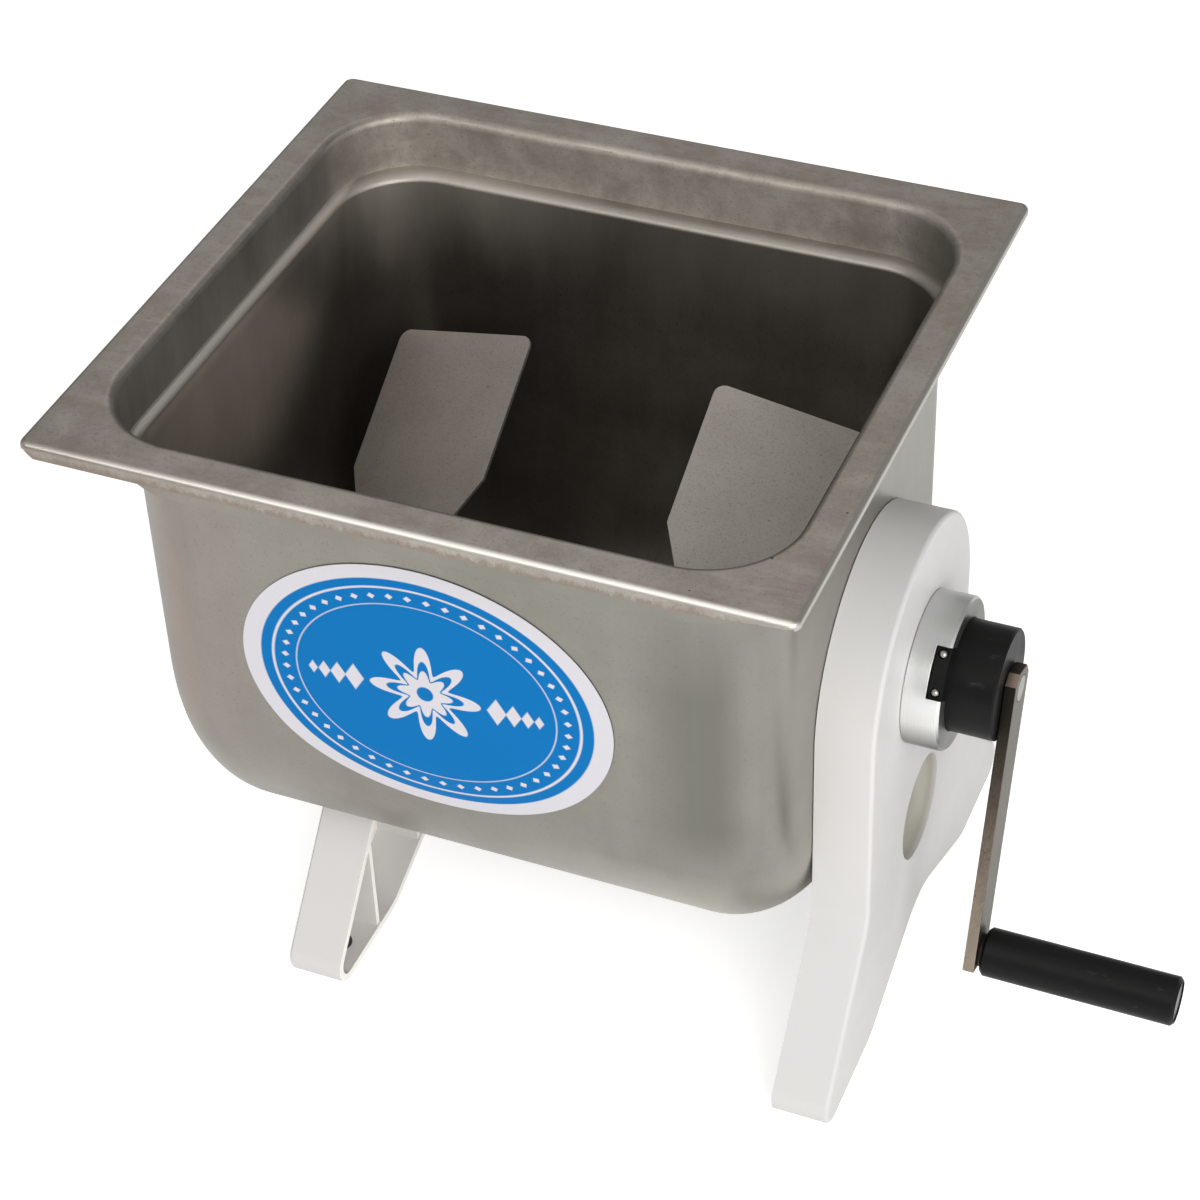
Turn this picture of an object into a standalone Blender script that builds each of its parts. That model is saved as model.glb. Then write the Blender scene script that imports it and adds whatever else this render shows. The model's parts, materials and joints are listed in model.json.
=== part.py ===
"""A hand-cranked butter churn: a steel tank on two moulded legs, with a side crank and two paddles.

Metres, +Z up, +X towards the crank. The origin is on the floor under the middle of the whole churn.
Sizes along X are measured from the middle of the tank, and heights from the floor.
"""

import math

import bmesh
import bpy
from mathutils import Matrix

# Clearances
SEAT_GAP = 0.0003  # between two pieces that rest on each other
RUNNING_GAP = 0.0003  # between a shaft and the bore it turns in

# Tank, pressed from one sheet
FLOOR_CLEARANCE = 0.055  # from the floor to the lowest point of the round bottom
SHEET = 0.0012
RIM_LENGTH = 0.354
RIM_WIDTH = 0.325
RIM_CORNER = 0.005
RIM_FOLD = 0.0025
LIP_DROP = 0.007
OPENING_LENGTH = 0.315
OPENING_WIDTH = 0.282
OPENING_CORNER = 0.042
OPENING_FILLET = 0.003
SHOULDER_DROP = 0.029
SHOULDER_FILLET = 0.003
BODY_LENGTH = 0.308
BODY_WIDTH = 0.268
BODY_CORNER = 0.040
HUB_DROP = 0.151  # from the rim to the shaft, which is also the axis of the round bottom

# Legs and stand, moulded shells that share one foot outline
LEG_DEPTH = 0.028
LEG_WALL = 0.004
RIB = 0.003
RIB_SETBACK = 0.001
FOOT_Y = 0.0105  # the middle of the foot lies behind the shaft
TOE_REACH = 0.149  # from there to each toe
TOE_RADIUS = 0.011
ARCH_HALF = 0.074
ARCH_FOOT_RADIUS = 0.030
ARCH_PEAK = 0.031
ARCH_RADIUS = 0.045
STAND_RADIUS = 0.0725
KNEE_HEIGHT = 0.088
KNEE_RADIUS = 0.022
STAND_EDGE = 0.0022
LEG_EDGE = 0.0018
LEG_SETBACK = 0.054  # from the tank's left wall to the outer face of the left leg
SADDLE_HALF = 0.0745
SADDLE_CORNER = 0.005
RIB_INNER_Y = 0.030
RIB_OUTER_Y = 0.081
RIB_LEVELS = (0.055, 0.100, 0.145)
HUB_BOSS_WALL = 0.008
RECESS_Y = 0.004
RECESS_DROP = 0.093  # below the shaft
RECESS_RADIUS = 0.0265
RECESS_DEPTH = 0.009
RECESS_FILLET = 0.006

# Foot pads
PAD_PROUD = 0.0015
PAD_RADIUS = 0.008
PAD_SEAT_DEPTH = 0.0015
PAD_STEM_RADIUS = 0.003
PAD_HEAD_RADIUS = 0.0068
PAD_HEAD_HEIGHT = 0.006
PAD_SETBACK = 0.0388  # from the toe to the middle of a pad

# Fixings of the legs to the tank
STUD_RADIUS = 0.003
STUD_LENGTH = 0.013
STUD_Y = 0.055
WASHER_RADIUS = 0.0062
WASHER_THICKNESS = 0.0012
NUT_FLATS = 0.010
NUT_HEIGHT = 0.005
PIN_RADIUS = 0.004
PIN_LENGTH = 0.012
PIN_BOSS_WALL = 0.003
PIN_Y = 0.050
PIN_DROP = 0.065  # below the shaft

# Bearing housing, with its gasket, nut and seal
FLANGE_RADIUS = 0.0366
FLANGE_LENGTH = 0.0178
FLANGE_CHAMFER = 0.0012
SLEEVE_RADIUS = 0.030
NOSE_RADIUS = 0.018
NOSE_LENGTH = 0.0105  # past the inner face of the tank's wall
GASKET_RADIUS = 0.025
GASKET_THICKNESS = 0.002
HOUSING_NUT_RADIUS = 0.026
HOUSING_NUT_LENGTH = 0.007
HOUSING_NUT_SLOT = 0.005
SEAL_RADIUS = 0.0135
SEAL_LENGTH = 0.006
SEAL_STEP = 0.004  # wall between the seal and the nose's end
NOTCH_WIDTH = 0.0246
NOTCH_DEPTH = 0.007
NOTCH_ANGLE = math.radians(38.5)  # above level, on the front side

# Bearing plug with its lug and detent balls
PLUG_RADIUS = 0.0266
PLUG_PROUD = 0.0222
PLUG_CHAMFER = 0.0008
PLUG_STEP_RADIUS = 0.022
PLUG_LIP_DEPTH = 0.0123
PLUG_NOSE_LENGTH = 0.026
LUG_REACH = 0.0345
LUG_CLEARANCE = 0.0004
BALL_RADIUS = 0.0021
BALL_SPREAD = 0.009
BALL_INSET = 0.0034
BALL_PROUD = 0.0012

# Crank
CRANK_ANGLE = math.radians(-17)
CRANK_RADIUS = 0.1377
SHAFT_RADIUS = 0.008
SPIGOT_RADIUS = 0.0062
TONGUE_FLATS = 0.011
TONGUE_LENGTH = 0.028
ARM_WIDTH = 0.0227
ARM_THICKNESS = 0.0055
ARM_TOP = 0.0095
ARM_BOTTOM = 0.007
ARM_CHAMFER = 0.005

# Grip
GRIP_RADIUS = 0.0118
GRIP_LENGTH = 0.093
GRIP_CHAMFER = 0.0015
GRIP_WASHER_RADIUS = 0.008
GRIP_WASHER_THICKNESS = 0.0012
AXLE_RADIUS = 0.005
AXLE_HEAD_RADIUS = 0.0094
AXLE_HEAD_LENGTH = 0.003
AXLE_HEAD_INSET = 0.0008
SPANNER_HOLE_RADIUS = 0.0009
SPANNER_HOLE_SPREAD = 0.0076
SPANNER_HOLE_DEPTH = 0.002

# Paddle shaft, its left bearing and the paddles
ROTOR_RADIUS = 0.011
ROTOR_END_GAP = 0.0025  # from the housing's nose to the shaft's right end
SOCKET_SPARE = 0.0015
PIVOT_RADIUS = 0.006
PIVOT_LENGTH = 0.0195
PIVOT_FLANGE_RADIUS = 0.013
PIVOT_FLANGE_THICKNESS = 0.003
ROTOR_FLOAT = 0.0006
BUSH_WALL = 0.0022
BUSH_LENGTH = 0.019
BUSH_END_ROOM = 0.0027
PADDLE_THICKNESS = 0.0015
PADDLE_HALF_WIDTH = 0.0417
PADDLE_TIP = 0.1122
PADDLE_SHOULDER = 0.0357
PADDLE_TAPER = 0.52  # width lost on each side for each length nearer the shaft
PADDLE_FOOT = 0.004
PADDLE_TIP_ROUND = 0.006
PADDLE_SHOULDER_ROUND = 0.002
LEFT_PADDLE = {"x": -0.0867, "lean": math.radians(58), "twist": math.radians(-19.5)}
RIGHT_PADDLE = {"x": 0.0855, "lean": math.radians(63), "twist": math.radians(17.5)}

# Front label, a thin oval on the tank
LABEL_X = -0.0055
LABEL_DROP = 0.1144  # from the rim to the middle of the label
LABEL_HALF_LENGTH = 0.0896
LABEL_HALF_HEIGHT = 0.0695
LABEL_THICKNESS = 0.0003

# Fineness of round shapes
CORNER_STEPS = 6
TROUGH_STEPS = 22
FILLET_STEPS = 3
LABEL_STEPS = 9
LARGE_ROUND = 48
MEDIUM_ROUND = 32
SMALL_ROUND = 20
TINY_ROUND = 12

# Places that follow from the sizes above
TROUGH_RADIUS = BODY_WIDTH / 2
HUB_Z = FLOOR_CLEARANCE + TROUGH_RADIUS
RIM_HEIGHT = HUB_Z + HUB_DROP
WALL_OUT = BODY_LENGTH / 2
WALL_IN = WALL_OUT - SHEET
LEG_X = LEG_SETBACK - WALL_OUT
PAD_PLACES = (("front", FOOT_Y - TOE_REACH + PAD_SETBACK), ("rear", FOOT_Y + TOE_REACH - PAD_SETBACK))
RECESS_HEIGHT = HUB_Z - RECESS_DROP
PIN_HEIGHT = HUB_Z - PIN_DROP
LABEL_HEIGHT = RIM_HEIGHT - LABEL_DROP
STAND_OPEN_X = WALL_OUT + SEAT_GAP
STAND_X = STAND_OPEN_X + LEG_DEPTH
FLANGE_X = STAND_X + SEAT_GAP
RING_FACE_X = FLANGE_X + FLANGE_LENGTH
NOTCH_X = RING_FACE_X - NOTCH_DEPTH
NOSE_X = WALL_IN - NOSE_LENGTH
SEAL_X = NOSE_X + SEAL_STEP
PLUG_FACE_X = RING_FACE_X + PLUG_PROUD
PLUG_STEP_X = RING_FACE_X - PLUG_LIP_DEPTH
PLUG_NOSE_X = PLUG_STEP_X - PLUG_NOSE_LENGTH
ARM_IN_X = PLUG_FACE_X + SEAT_GAP
ARM_OUT_X = ARM_IN_X + ARM_THICKNESS
ROTOR_RIGHT_X = NOSE_X - ROTOR_END_GAP
TONGUE_X = ROTOR_RIGHT_X + ROTOR_END_GAP / 2 - TONGUE_LENGTH
PIVOT_IN_X = -WALL_IN + SEAT_GAP + PIVOT_FLANGE_THICKNESS
ROTOR_LEFT_X = PIVOT_IN_X + ROTOR_FLOAT
GRIP_WASHER_X = ARM_OUT_X + SEAT_GAP
GRIP_X = GRIP_WASHER_X + GRIP_WASHER_THICKNESS + SEAT_GAP
GRIP_END_X = GRIP_X + GRIP_LENGTH
SADDLE_RADIUS = TROUGH_RADIUS + SEAT_GAP
SADDLE_Z = HUB_Z - math.sqrt(SADDLE_RADIUS**2 - SADDLE_HALF**2)
TANK_X = (RIM_LENGTH / 2 - GRIP_END_X) / 2  # puts the origin under the middle of the whole churn

# Colours: base colour, roughness, metallic
STEEL = ("satin steel", (0.42, 0.40, 0.37), 0.38, 1.0)
PADDLE_STEEL = ("blasted steel", (0.36, 0.33, 0.31), 0.55, 1.0)
ALUMINIUM = ("turned aluminium", (0.62, 0.63, 0.61), 0.30, 1.0)
ARM_STEEL = ("flat bar steel", (0.33, 0.28, 0.24), 0.42, 1.0)
WHITE_PLASTIC = ("white plastic", (0.78, 0.77, 0.75), 0.45, 0.0)
BLACK_PLASTIC = ("black plastic", (0.018, 0.018, 0.019), 0.42, 0.0)
DARK_RUBBER = ("dark rubber", (0.02, 0.02, 0.024), 0.75, 0.0)
SILICONE = ("silicone", (0.70, 0.72, 0.74), 0.60, 0.0)
BUSH_PLASTIC = ("bush plastic", (0.80, 0.79, 0.76), 0.50, 0.0)
LABEL_FILM = ("label film", (0.85, 0.86, 0.88), 0.35, 0.0)


def clear_scene():
    for obj in list(bpy.data.objects):
        bpy.data.objects.remove(obj, do_unlink=True)


def new_collection(name):
    collection = bpy.data.collections.new(name)
    bpy.context.scene.collection.children.link(collection)
    return collection


def material(kind):
    """The material of one kind, made once and shared."""
    name, colour, roughness, metallic = kind
    found = bpy.data.materials.get(name)
    if found:
        return found
    made = bpy.data.materials.new(name)
    made.use_nodes = True
    shader = made.node_tree.nodes["Principled BSDF"]
    shader.inputs["Base Color"].default_value = (*colour, 1)
    shader.inputs["Roughness"].default_value = roughness
    shader.inputs["Metallic"].default_value = metallic
    return made


def empty(name, parent, location, tilt=0.0):
    """A frame that pieces hang on, tilted about X."""
    frame = bpy.data.objects.new(name, None)
    PARTS.objects.link(frame)
    frame.parent = parent
    frame.location = location
    frame.rotation_euler = (tilt, 0, 0)
    return frame


def piece(name, mesh, kind, parent, smooth=True):
    """A named part of the churn, in its parent's frame."""
    obj = bpy.data.objects.new(name, mesh)
    PARTS.objects.link(obj)
    obj.parent = parent
    obj.data.materials.append(material(kind))
    if smooth:
        mesh.shade_smooth()
        mesh.set_sharp_from_angle(angle=math.radians(35))
    return obj


def helper(name, mesh, parent):
    """A hidden shape that is joined to a part or cut from it."""
    obj = bpy.data.objects.new(name, mesh)
    CUTTERS.objects.link(obj)
    obj.parent = parent
    obj.hide_render = True
    obj.display_type = "WIRE"
    return obj


def combine(part, mesh, operation, label):
    """Joins a shape to a part, or cuts it away, in the part's own frame."""
    other = helper(part.name + "_" + label, mesh, part.parent)
    modifier = part.modifiers.new(label, "BOOLEAN")
    modifier.operation = operation
    modifier.object = other
    return other


def finished(bm, name):
    """The mesh of a closed shape, with its faces turned out."""
    bmesh.ops.recalc_face_normals(bm, faces=bm.faces)
    mesh = bpy.data.meshes.new(name)
    bm.to_mesh(mesh)
    bm.free()
    return mesh


def join_loops(bm, loops):
    """Closed skin over a row of loops with as many points each, with a face on both ends."""
    for first, second in zip(loops, loops[1:]):
        for index in range(len(first)):
            following = (index + 1) % len(first)
            bm.faces.new((first[index], first[following], second[following], second[index]))
    bm.faces.new(loops[0])
    bm.faces.new(loops[-1])


def box(low, high, turn=None):
    """A box between two corners, turned about X if asked."""
    bm = bmesh.new()
    bmesh.ops.create_cube(bm, size=1)
    size = [h - l for l, h in zip(low, high)]
    middle = [(h + l) / 2 for l, h in zip(low, high)]
    bmesh.ops.scale(bm, vec=size, verts=bm.verts)
    bmesh.ops.translate(bm, vec=middle, verts=bm.verts)
    if turn:
        bmesh.ops.rotate(bm, matrix=Matrix.Rotation(turn, 3, "X"), verts=bm.verts)
    return finished(bm, "box")


def cylinder(radius, low, high, y=0.0, z=0.0, steps=LARGE_ROUND):
    """A cylinder along X from low to high, with its axis at y and z."""
    bm = bmesh.new()
    bmesh.ops.create_cone(
        bm, cap_ends=True, segments=steps, radius1=radius, radius2=radius, depth=high - low
    )
    bmesh.ops.rotate(bm, matrix=Matrix.Rotation(math.pi / 2, 3, "Y"), verts=bm.verts)
    bmesh.ops.translate(bm, vec=((high + low) / 2, y, z), verts=bm.verts)
    return finished(bm, "cylinder")


def bowl(radius, fillet_radius, low, high, y, z, steps=LARGE_ROUND):
    """A round plug along X whose low end is rounded off into a bowl."""
    rings = [(high, 0)]
    for t in quarter_steps():
        rings.append((low + fillet_radius * (1 - math.sin(t)), fillet_radius * (1 - math.cos(t))))
    bm = bmesh.new()
    loops = []
    for x, depth in rings:
        loop = []
        for step in range(steps):
            turn = 2 * math.pi * step / steps
            reach = radius - depth
            loop.append(bm.verts.new((x, y + reach * math.cos(turn), z + reach * math.sin(turn))))
        loops.append(loop)
    join_loops(bm, loops)
    return finished(bm, "bowl")


def upright(radius, low, high, y, steps=SMALL_ROUND, x=0.0):
    """A cylinder along Z from low to high."""
    bm = bmesh.new()
    bmesh.ops.create_cone(
        bm, cap_ends=True, segments=steps, radius1=radius, radius2=radius, depth=high - low
    )
    bmesh.ops.translate(bm, vec=(x, y, (high + low) / 2), verts=bm.verts)
    return finished(bm, "upright")


def turned(name, kind, parent, profile, steps=LARGE_ROUND, axis="X", closed=True):
    """A part turned about its own X or Z axis.

    The profile holds (place along the axis, radius) and runs down the outer side, then up the bore.
    """
    bm = bmesh.new()
    if axis == "X":
        verts = [bm.verts.new((along, radius, 0)) for along, radius in profile]
    else:
        verts = [bm.verts.new((radius, 0, along)) for along, radius in profile]
    for first, second in zip(verts, verts[1:]):
        bm.edges.new((first, second))
    if closed:
        bm.edges.new((verts[-1], verts[0]))
    mesh = bpy.data.meshes.new(name)
    bm.to_mesh(mesh)
    bm.free()
    part = piece(name, mesh, kind, parent, smooth=False)
    screw = part.modifiers.new("turn", "SCREW")
    screw.axis = axis
    screw.steps = steps
    screw.render_steps = steps
    screw.use_merge_vertices = True
    screw.merge_threshold = 0.00001
    screw.use_smooth_shade = False
    return part


def fillet(before, corner, after, radius):
    """Points of the arc that rounds one corner of an outline."""
    into = [b - c for b, c in zip(before, corner)]
    out = [a - c for a, c in zip(after, corner)]
    into_length = math.hypot(*into)
    out_length = math.hypot(*out)
    into = [part / into_length for part in into]
    out = [part / out_length for part in out]
    half = math.acos(max(-1, min(1, into[0] * out[0] + into[1] * out[1]))) / 2
    reach = radius / math.tan(half)
    middle = [i + o for i, o in zip(into, out)]
    middle_length = math.hypot(*middle)
    centre = [c + m / middle_length * radius / math.sin(half) for c, m in zip(corner, middle)]
    start = [c + i * reach - m for c, i, m in zip(corner, into, centre)]
    sweep = math.pi - 2 * half
    if into[0] * out[1] - into[1] * out[0] > 0:
        sweep = -sweep
    steps = max(2, math.ceil(abs(sweep) / math.radians(14)))
    points = []
    for step in range(steps + 1):
        turn = sweep * step / steps
        points.append(
            (
                centre[0] + start[0] * math.cos(turn) - start[1] * math.sin(turn),
                centre[1] + start[0] * math.sin(turn) + start[1] * math.cos(turn),
            )
        )
    return points


def rounded(corners):
    """An outline from corners given as (across, up, radius). A radius of 0 keeps a corner sharp."""
    points = []
    for index, (across, up, radius) in enumerate(corners):
        before = corners[index - 1][:2]
        after = corners[(index + 1) % len(corners)][:2]
        arc = [(across, up)] if radius == 0 else fillet(before, (across, up), after, radius)
        points += [p for p in arc if not points or math.dist(p, points[-1]) > 0.00001]
    if math.dist(points[0], points[-1]) < 0.00001:
        points.pop()
    return points


def inset(points, distance):
    """The outline moved inwards. It runs anticlockwise seen from +X, with Y to the right."""
    moved = []
    count = len(points)
    for index, (across, up) in enumerate(points):
        before = points[index - 1]
        after = points[(index + 1) % count]
        first = math.atan2(up - before[1], across - before[0])
        second = math.atan2(after[1] - up, after[0] - across)
        turn = (second - first + math.pi) % (2 * math.pi) - math.pi
        normal = first + turn / 2 + math.pi / 2
        reach = distance / math.cos(turn / 2)
        moved.append((across + reach * math.cos(normal), up + reach * math.sin(normal)))
    return moved


def prism_bmesh(points, low, high):
    """An outline in Y and Z, extruded along X from low to high."""
    bm = bmesh.new()
    verts = [bm.verts.new((low, across, up)) for across, up in points]
    face = bm.faces.new(verts)
    grown = bmesh.ops.extrude_face_region(bm, geom=[face])
    bmesh.ops.translate(
        bm,
        vec=(high - low, 0, 0),
        verts=[v for v in grown["geom"] if isinstance(v, bmesh.types.BMVert)],
    )
    bmesh.ops.recalc_face_normals(bm, faces=bm.faces)
    return bm


def prism(points, low, high):
    return finished(prism_bmesh(points, low, high), "prism")


def block_mesh(name, points, web_x, open_x, edge):
    """The outline as a solid block between the web and the open side, with the web's edge rounded."""
    inward = 1 if open_x > web_x else -1
    rings = [(open_x, 0)]
    for t in quarter_steps():
        rings.append((web_x + inward * edge * (1 - math.sin(t)), edge * (1 - math.cos(t))))
    bm = bmesh.new()
    loops = []
    for x, depth in rings:
        loops.append([bm.verts.new((x, across, up)) for across, up in inset(points, depth)])
    join_loops(bm, loops)
    return finished(bm, name)


def foot_corners():
    """The lower outline that both legs share, from the front toe to the rear toe."""
    floor = PAD_PROUD
    return [
        (FOOT_Y - TOE_REACH, floor, TOE_RADIUS),
        (FOOT_Y - ARCH_HALF, floor, ARCH_FOOT_RADIUS),
        (FOOT_Y, floor + ARCH_PEAK, ARCH_RADIUS),
        (FOOT_Y + ARCH_HALF, floor, ARCH_FOOT_RADIUS),
        (FOOT_Y + TOE_REACH, floor, TOE_RADIUS),
    ]


def stand_outline():
    top = HUB_Z + STAND_RADIUS
    return rounded(
        [
            (STAND_RADIUS, top, STAND_RADIUS),
            (-STAND_RADIUS, top, STAND_RADIUS),
            (-STAND_RADIUS, KNEE_HEIGHT, KNEE_RADIUS),
            *foot_corners(),
            (STAND_RADIUS, KNEE_HEIGHT, KNEE_RADIUS),
        ]
    )


def saddle_arc():
    """Points of the left leg's top, hollowed to carry the tank, from the rear to the front."""
    half = math.asin((SADDLE_HALF - 2 * SADDLE_CORNER) / SADDLE_RADIUS)
    steps = 12
    turns = [half - 2 * half * step / steps for step in range(steps + 1)]
    return [(SADDLE_RADIUS * math.sin(t), HUB_Z - SADDLE_RADIUS * math.cos(t), 0) for t in turns]


def leg_outline():
    return rounded(
        [
            *saddle_arc(),
            (-SADDLE_HALF, SADDLE_Z, SADDLE_CORNER),
            *foot_corners(),
            (SADDLE_HALF, SADDLE_Z, SADDLE_CORNER),
        ]
    )


def shell(name, points, web_x, open_x, edge):
    """A moulded shell: a web and a wall all round it, open on one side."""
    part = piece(name, block_mesh(name, points, web_x, open_x, edge), WHITE_PLASTIC, CHURN)
    inward = 1 if open_x > web_x else -1
    ends = sorted((web_x + inward * LEG_WALL, open_x + inward * LEG_WALL))
    combine(part, prism(inset(points, LEG_WALL), *ends), "DIFFERENCE", "inside")
    return part


def add_ribs(part, points, web_x, open_x, boxes):
    """Ribs inside a shell, each ending half way into the wall that it meets."""
    inward = 1 if open_x > web_x else -1
    ends = sorted((web_x + inward * LEG_WALL / 2, open_x - inward * RIB_SETBACK))
    frame = None
    for number, (low, high) in enumerate(boxes):
        mesh = box((ends[0], *low), (ends[1], *high))
        if frame is None:
            frame = combine(part, mesh, "UNION", "ribs")
            continue
        joined = frame.modifiers.new("rib", "BOOLEAN")
        joined.operation = "UNION"
        joined.object = helper(f"{part.name}_rib_{number}", mesh, part.parent)
    # The bounds reach past both ends of the ribs, so that only the outline trims them.
    bounds = prism(inset(points, LEG_WALL / 2), ends[0] - LEG_WALL, ends[1] + LEG_WALL)
    trimmed = frame.modifiers.new("trim", "BOOLEAN")
    trimmed.operation = "INTERSECT"
    trimmed.object = helper(part.name + "_rib_bounds", bounds, part.parent)


def pad_seats(part, x):
    """The recess and the hole in the sole of a leg for each foot pad."""
    for label, y in PAD_PLACES:
        top = PAD_PROUD + PAD_SEAT_DEPTH + SEAT_GAP
        seat = upright(PAD_RADIUS + SEAT_GAP, 0, top, y, x=x)
        combine(part, seat, "DIFFERENCE", f"pad_seat_{label}")
        hole = upright(PAD_STEM_RADIUS + SEAT_GAP, 0, PAD_PROUD + 2 * LEG_WALL, y, TINY_ROUND, x)
        combine(part, hole, "DIFFERENCE", f"pad_hole_{label}")


def corner_turns():
    return [math.pi / 2 * step / CORNER_STEPS for step in range(CORNER_STEPS + 1)]


def side_points(half_length, half_width, radius):
    """One long side of a rounded rectangle, left to right, as (x, distance from the middle)."""
    corner = [
        (half_length - radius * (1 - math.sin(t)), half_width - radius * (1 - math.cos(t)))
        for t in corner_turns()
    ]
    return [(-x, y) for x, y in reversed(corner)] + corner


def quarter_steps():
    return [math.pi / 2 * step / FILLET_STEPS for step in range(FILLET_STEPS + 1)]


def tank_rings():
    """Half length, half width, corner radius and height of each ring of the sheet's upper face."""
    length, width = RIM_LENGTH / 2, RIM_WIDTH / 2
    rings = [(length, width, RIM_CORNER, RIM_HEIGHT - LIP_DROP)]
    for t in quarter_steps():
        inward, drop = RIM_FOLD * (1 - math.cos(t)), RIM_FOLD * (1 - math.sin(t))
        rings.append((length - inward, width - inward, RIM_CORNER - inward, RIM_HEIGHT - drop))
    open_length, open_width = OPENING_LENGTH / 2, OPENING_WIDTH / 2
    for t in quarter_steps():
        out, drop = OPENING_FILLET * (1 - math.sin(t)), OPENING_FILLET * (1 - math.cos(t))
        rings.append((open_length + out, open_width + out, OPENING_CORNER + out, RIM_HEIGHT - drop))
    body = (WALL_IN, TROUGH_RADIUS - SHEET, BODY_CORNER - SHEET)
    shoulder = RIM_HEIGHT - SHOULDER_DROP
    steps = [(0.5 * (1 - math.cos(t)), 1 - math.sin(t)) for t in quarter_steps()]
    steps += [(0.5 * (1 + math.sin(t)), math.cos(t) - 1) for t in quarter_steps()[1:]]
    for share, rise in steps:
        half_length = open_length + share * (body[0] - open_length)
        half_width = open_width + share * (body[1] - open_width)
        radius = OPENING_CORNER + share * (body[2] - OPENING_CORNER)
        rings.append((half_length, half_width, radius, shoulder + rise * SHOULDER_FILLET))
    return rings


def tank_mesh():
    """The upper face of the tank's sheet: rim, opening, shoulder, walls and round bottom."""
    bm = bmesh.new()
    loops = []
    for half_length, half_width, radius, height in tank_rings():
        side = side_points(half_length, half_width, radius)
        loop = [(x, -y, height) for x, y in side] + [(x, y, height) for x, y in reversed(side)]
        loops.append([bm.verts.new(point) for point in loop])
    for upper, lower in zip(loops, loops[1:]):
        for index in range(len(upper)):
            following = (index + 1) % len(upper)
            bm.faces.new((upper[index], upper[following], lower[following], lower[index]))
    last = loops[-1]
    half_length, half_width, radius, _ = tank_rings()[-1]
    columns = []
    for index, (x, distance) in enumerate(side_points(half_length, half_width, radius)):
        column = [last[index]]
        for step in range(TROUGH_STEPS + 1):
            turn = math.pi * (1 + step / TROUGH_STEPS)
            column.append(
                bm.verts.new((x, distance * math.cos(turn), HUB_Z + distance * math.sin(turn)))
            )
        column.append(last[-1 - index])
        columns.append(column)
    for left, right in zip(columns, columns[1:]):
        for step in range(len(left) - 1):
            bm.faces.new((left[step], right[step], right[step + 1], left[step + 1]))
    bm.faces.new(columns[0])
    bm.faces.new(columns[-1][::-1])
    mesh = bpy.data.meshes.new("tank")
    bm.to_mesh(mesh)
    bm.free()
    return mesh


def make_tank():
    tank = piece("tank", tank_mesh(), STEEL, CHURN)
    sheet = tank.modifiers.new("sheet", "SOLIDIFY")
    sheet.thickness = SHEET
    sheet.offset = -1
    sheet.use_even_offset = True
    hole = cylinder(NOSE_RADIUS + SEAT_GAP, WALL_IN - SHEET, WALL_OUT + SHEET, z=HUB_Z)
    combine(tank, hole, "DIFFERENCE", "hub_hole")


def wall_point(x, drop, out):
    """A point on the front of the tank, given how far the wall runs down to it from the trough's axis."""
    radius = TROUGH_RADIUS + out
    if drop <= 0:
        return (x, -radius, HUB_Z - drop)
    turn = drop / TROUGH_RADIUS
    return (x, -radius * math.cos(turn), HUB_Z - radius * math.sin(turn))


def make_label():
    """A thin oval that lies on the tank's front and follows it into the round bottom."""
    bm = bmesh.new()
    bmesh.ops.create_grid(bm, x_segments=LABEL_STEPS, y_segments=LABEL_STEPS, size=1)
    for vert in bm.verts:
        across, up, _ = vert.co
        x = LABEL_X + LABEL_HALF_LENGTH * across * math.sqrt(1 - up * up / 2)
        height = LABEL_HEIGHT + LABEL_HALF_HEIGHT * up * math.sqrt(1 - across * across / 2)
        vert.co = wall_point(x, HUB_Z - height, SEAT_GAP)
    mesh = bpy.data.meshes.new("front_label")
    bm.to_mesh(mesh)
    bm.free()
    label = piece("front_label", mesh, LABEL_FILM, CHURN)
    film = label.modifiers.new("film", "SOLIDIFY")
    film.thickness = LABEL_THICKNESS
    film.offset = 1


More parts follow.
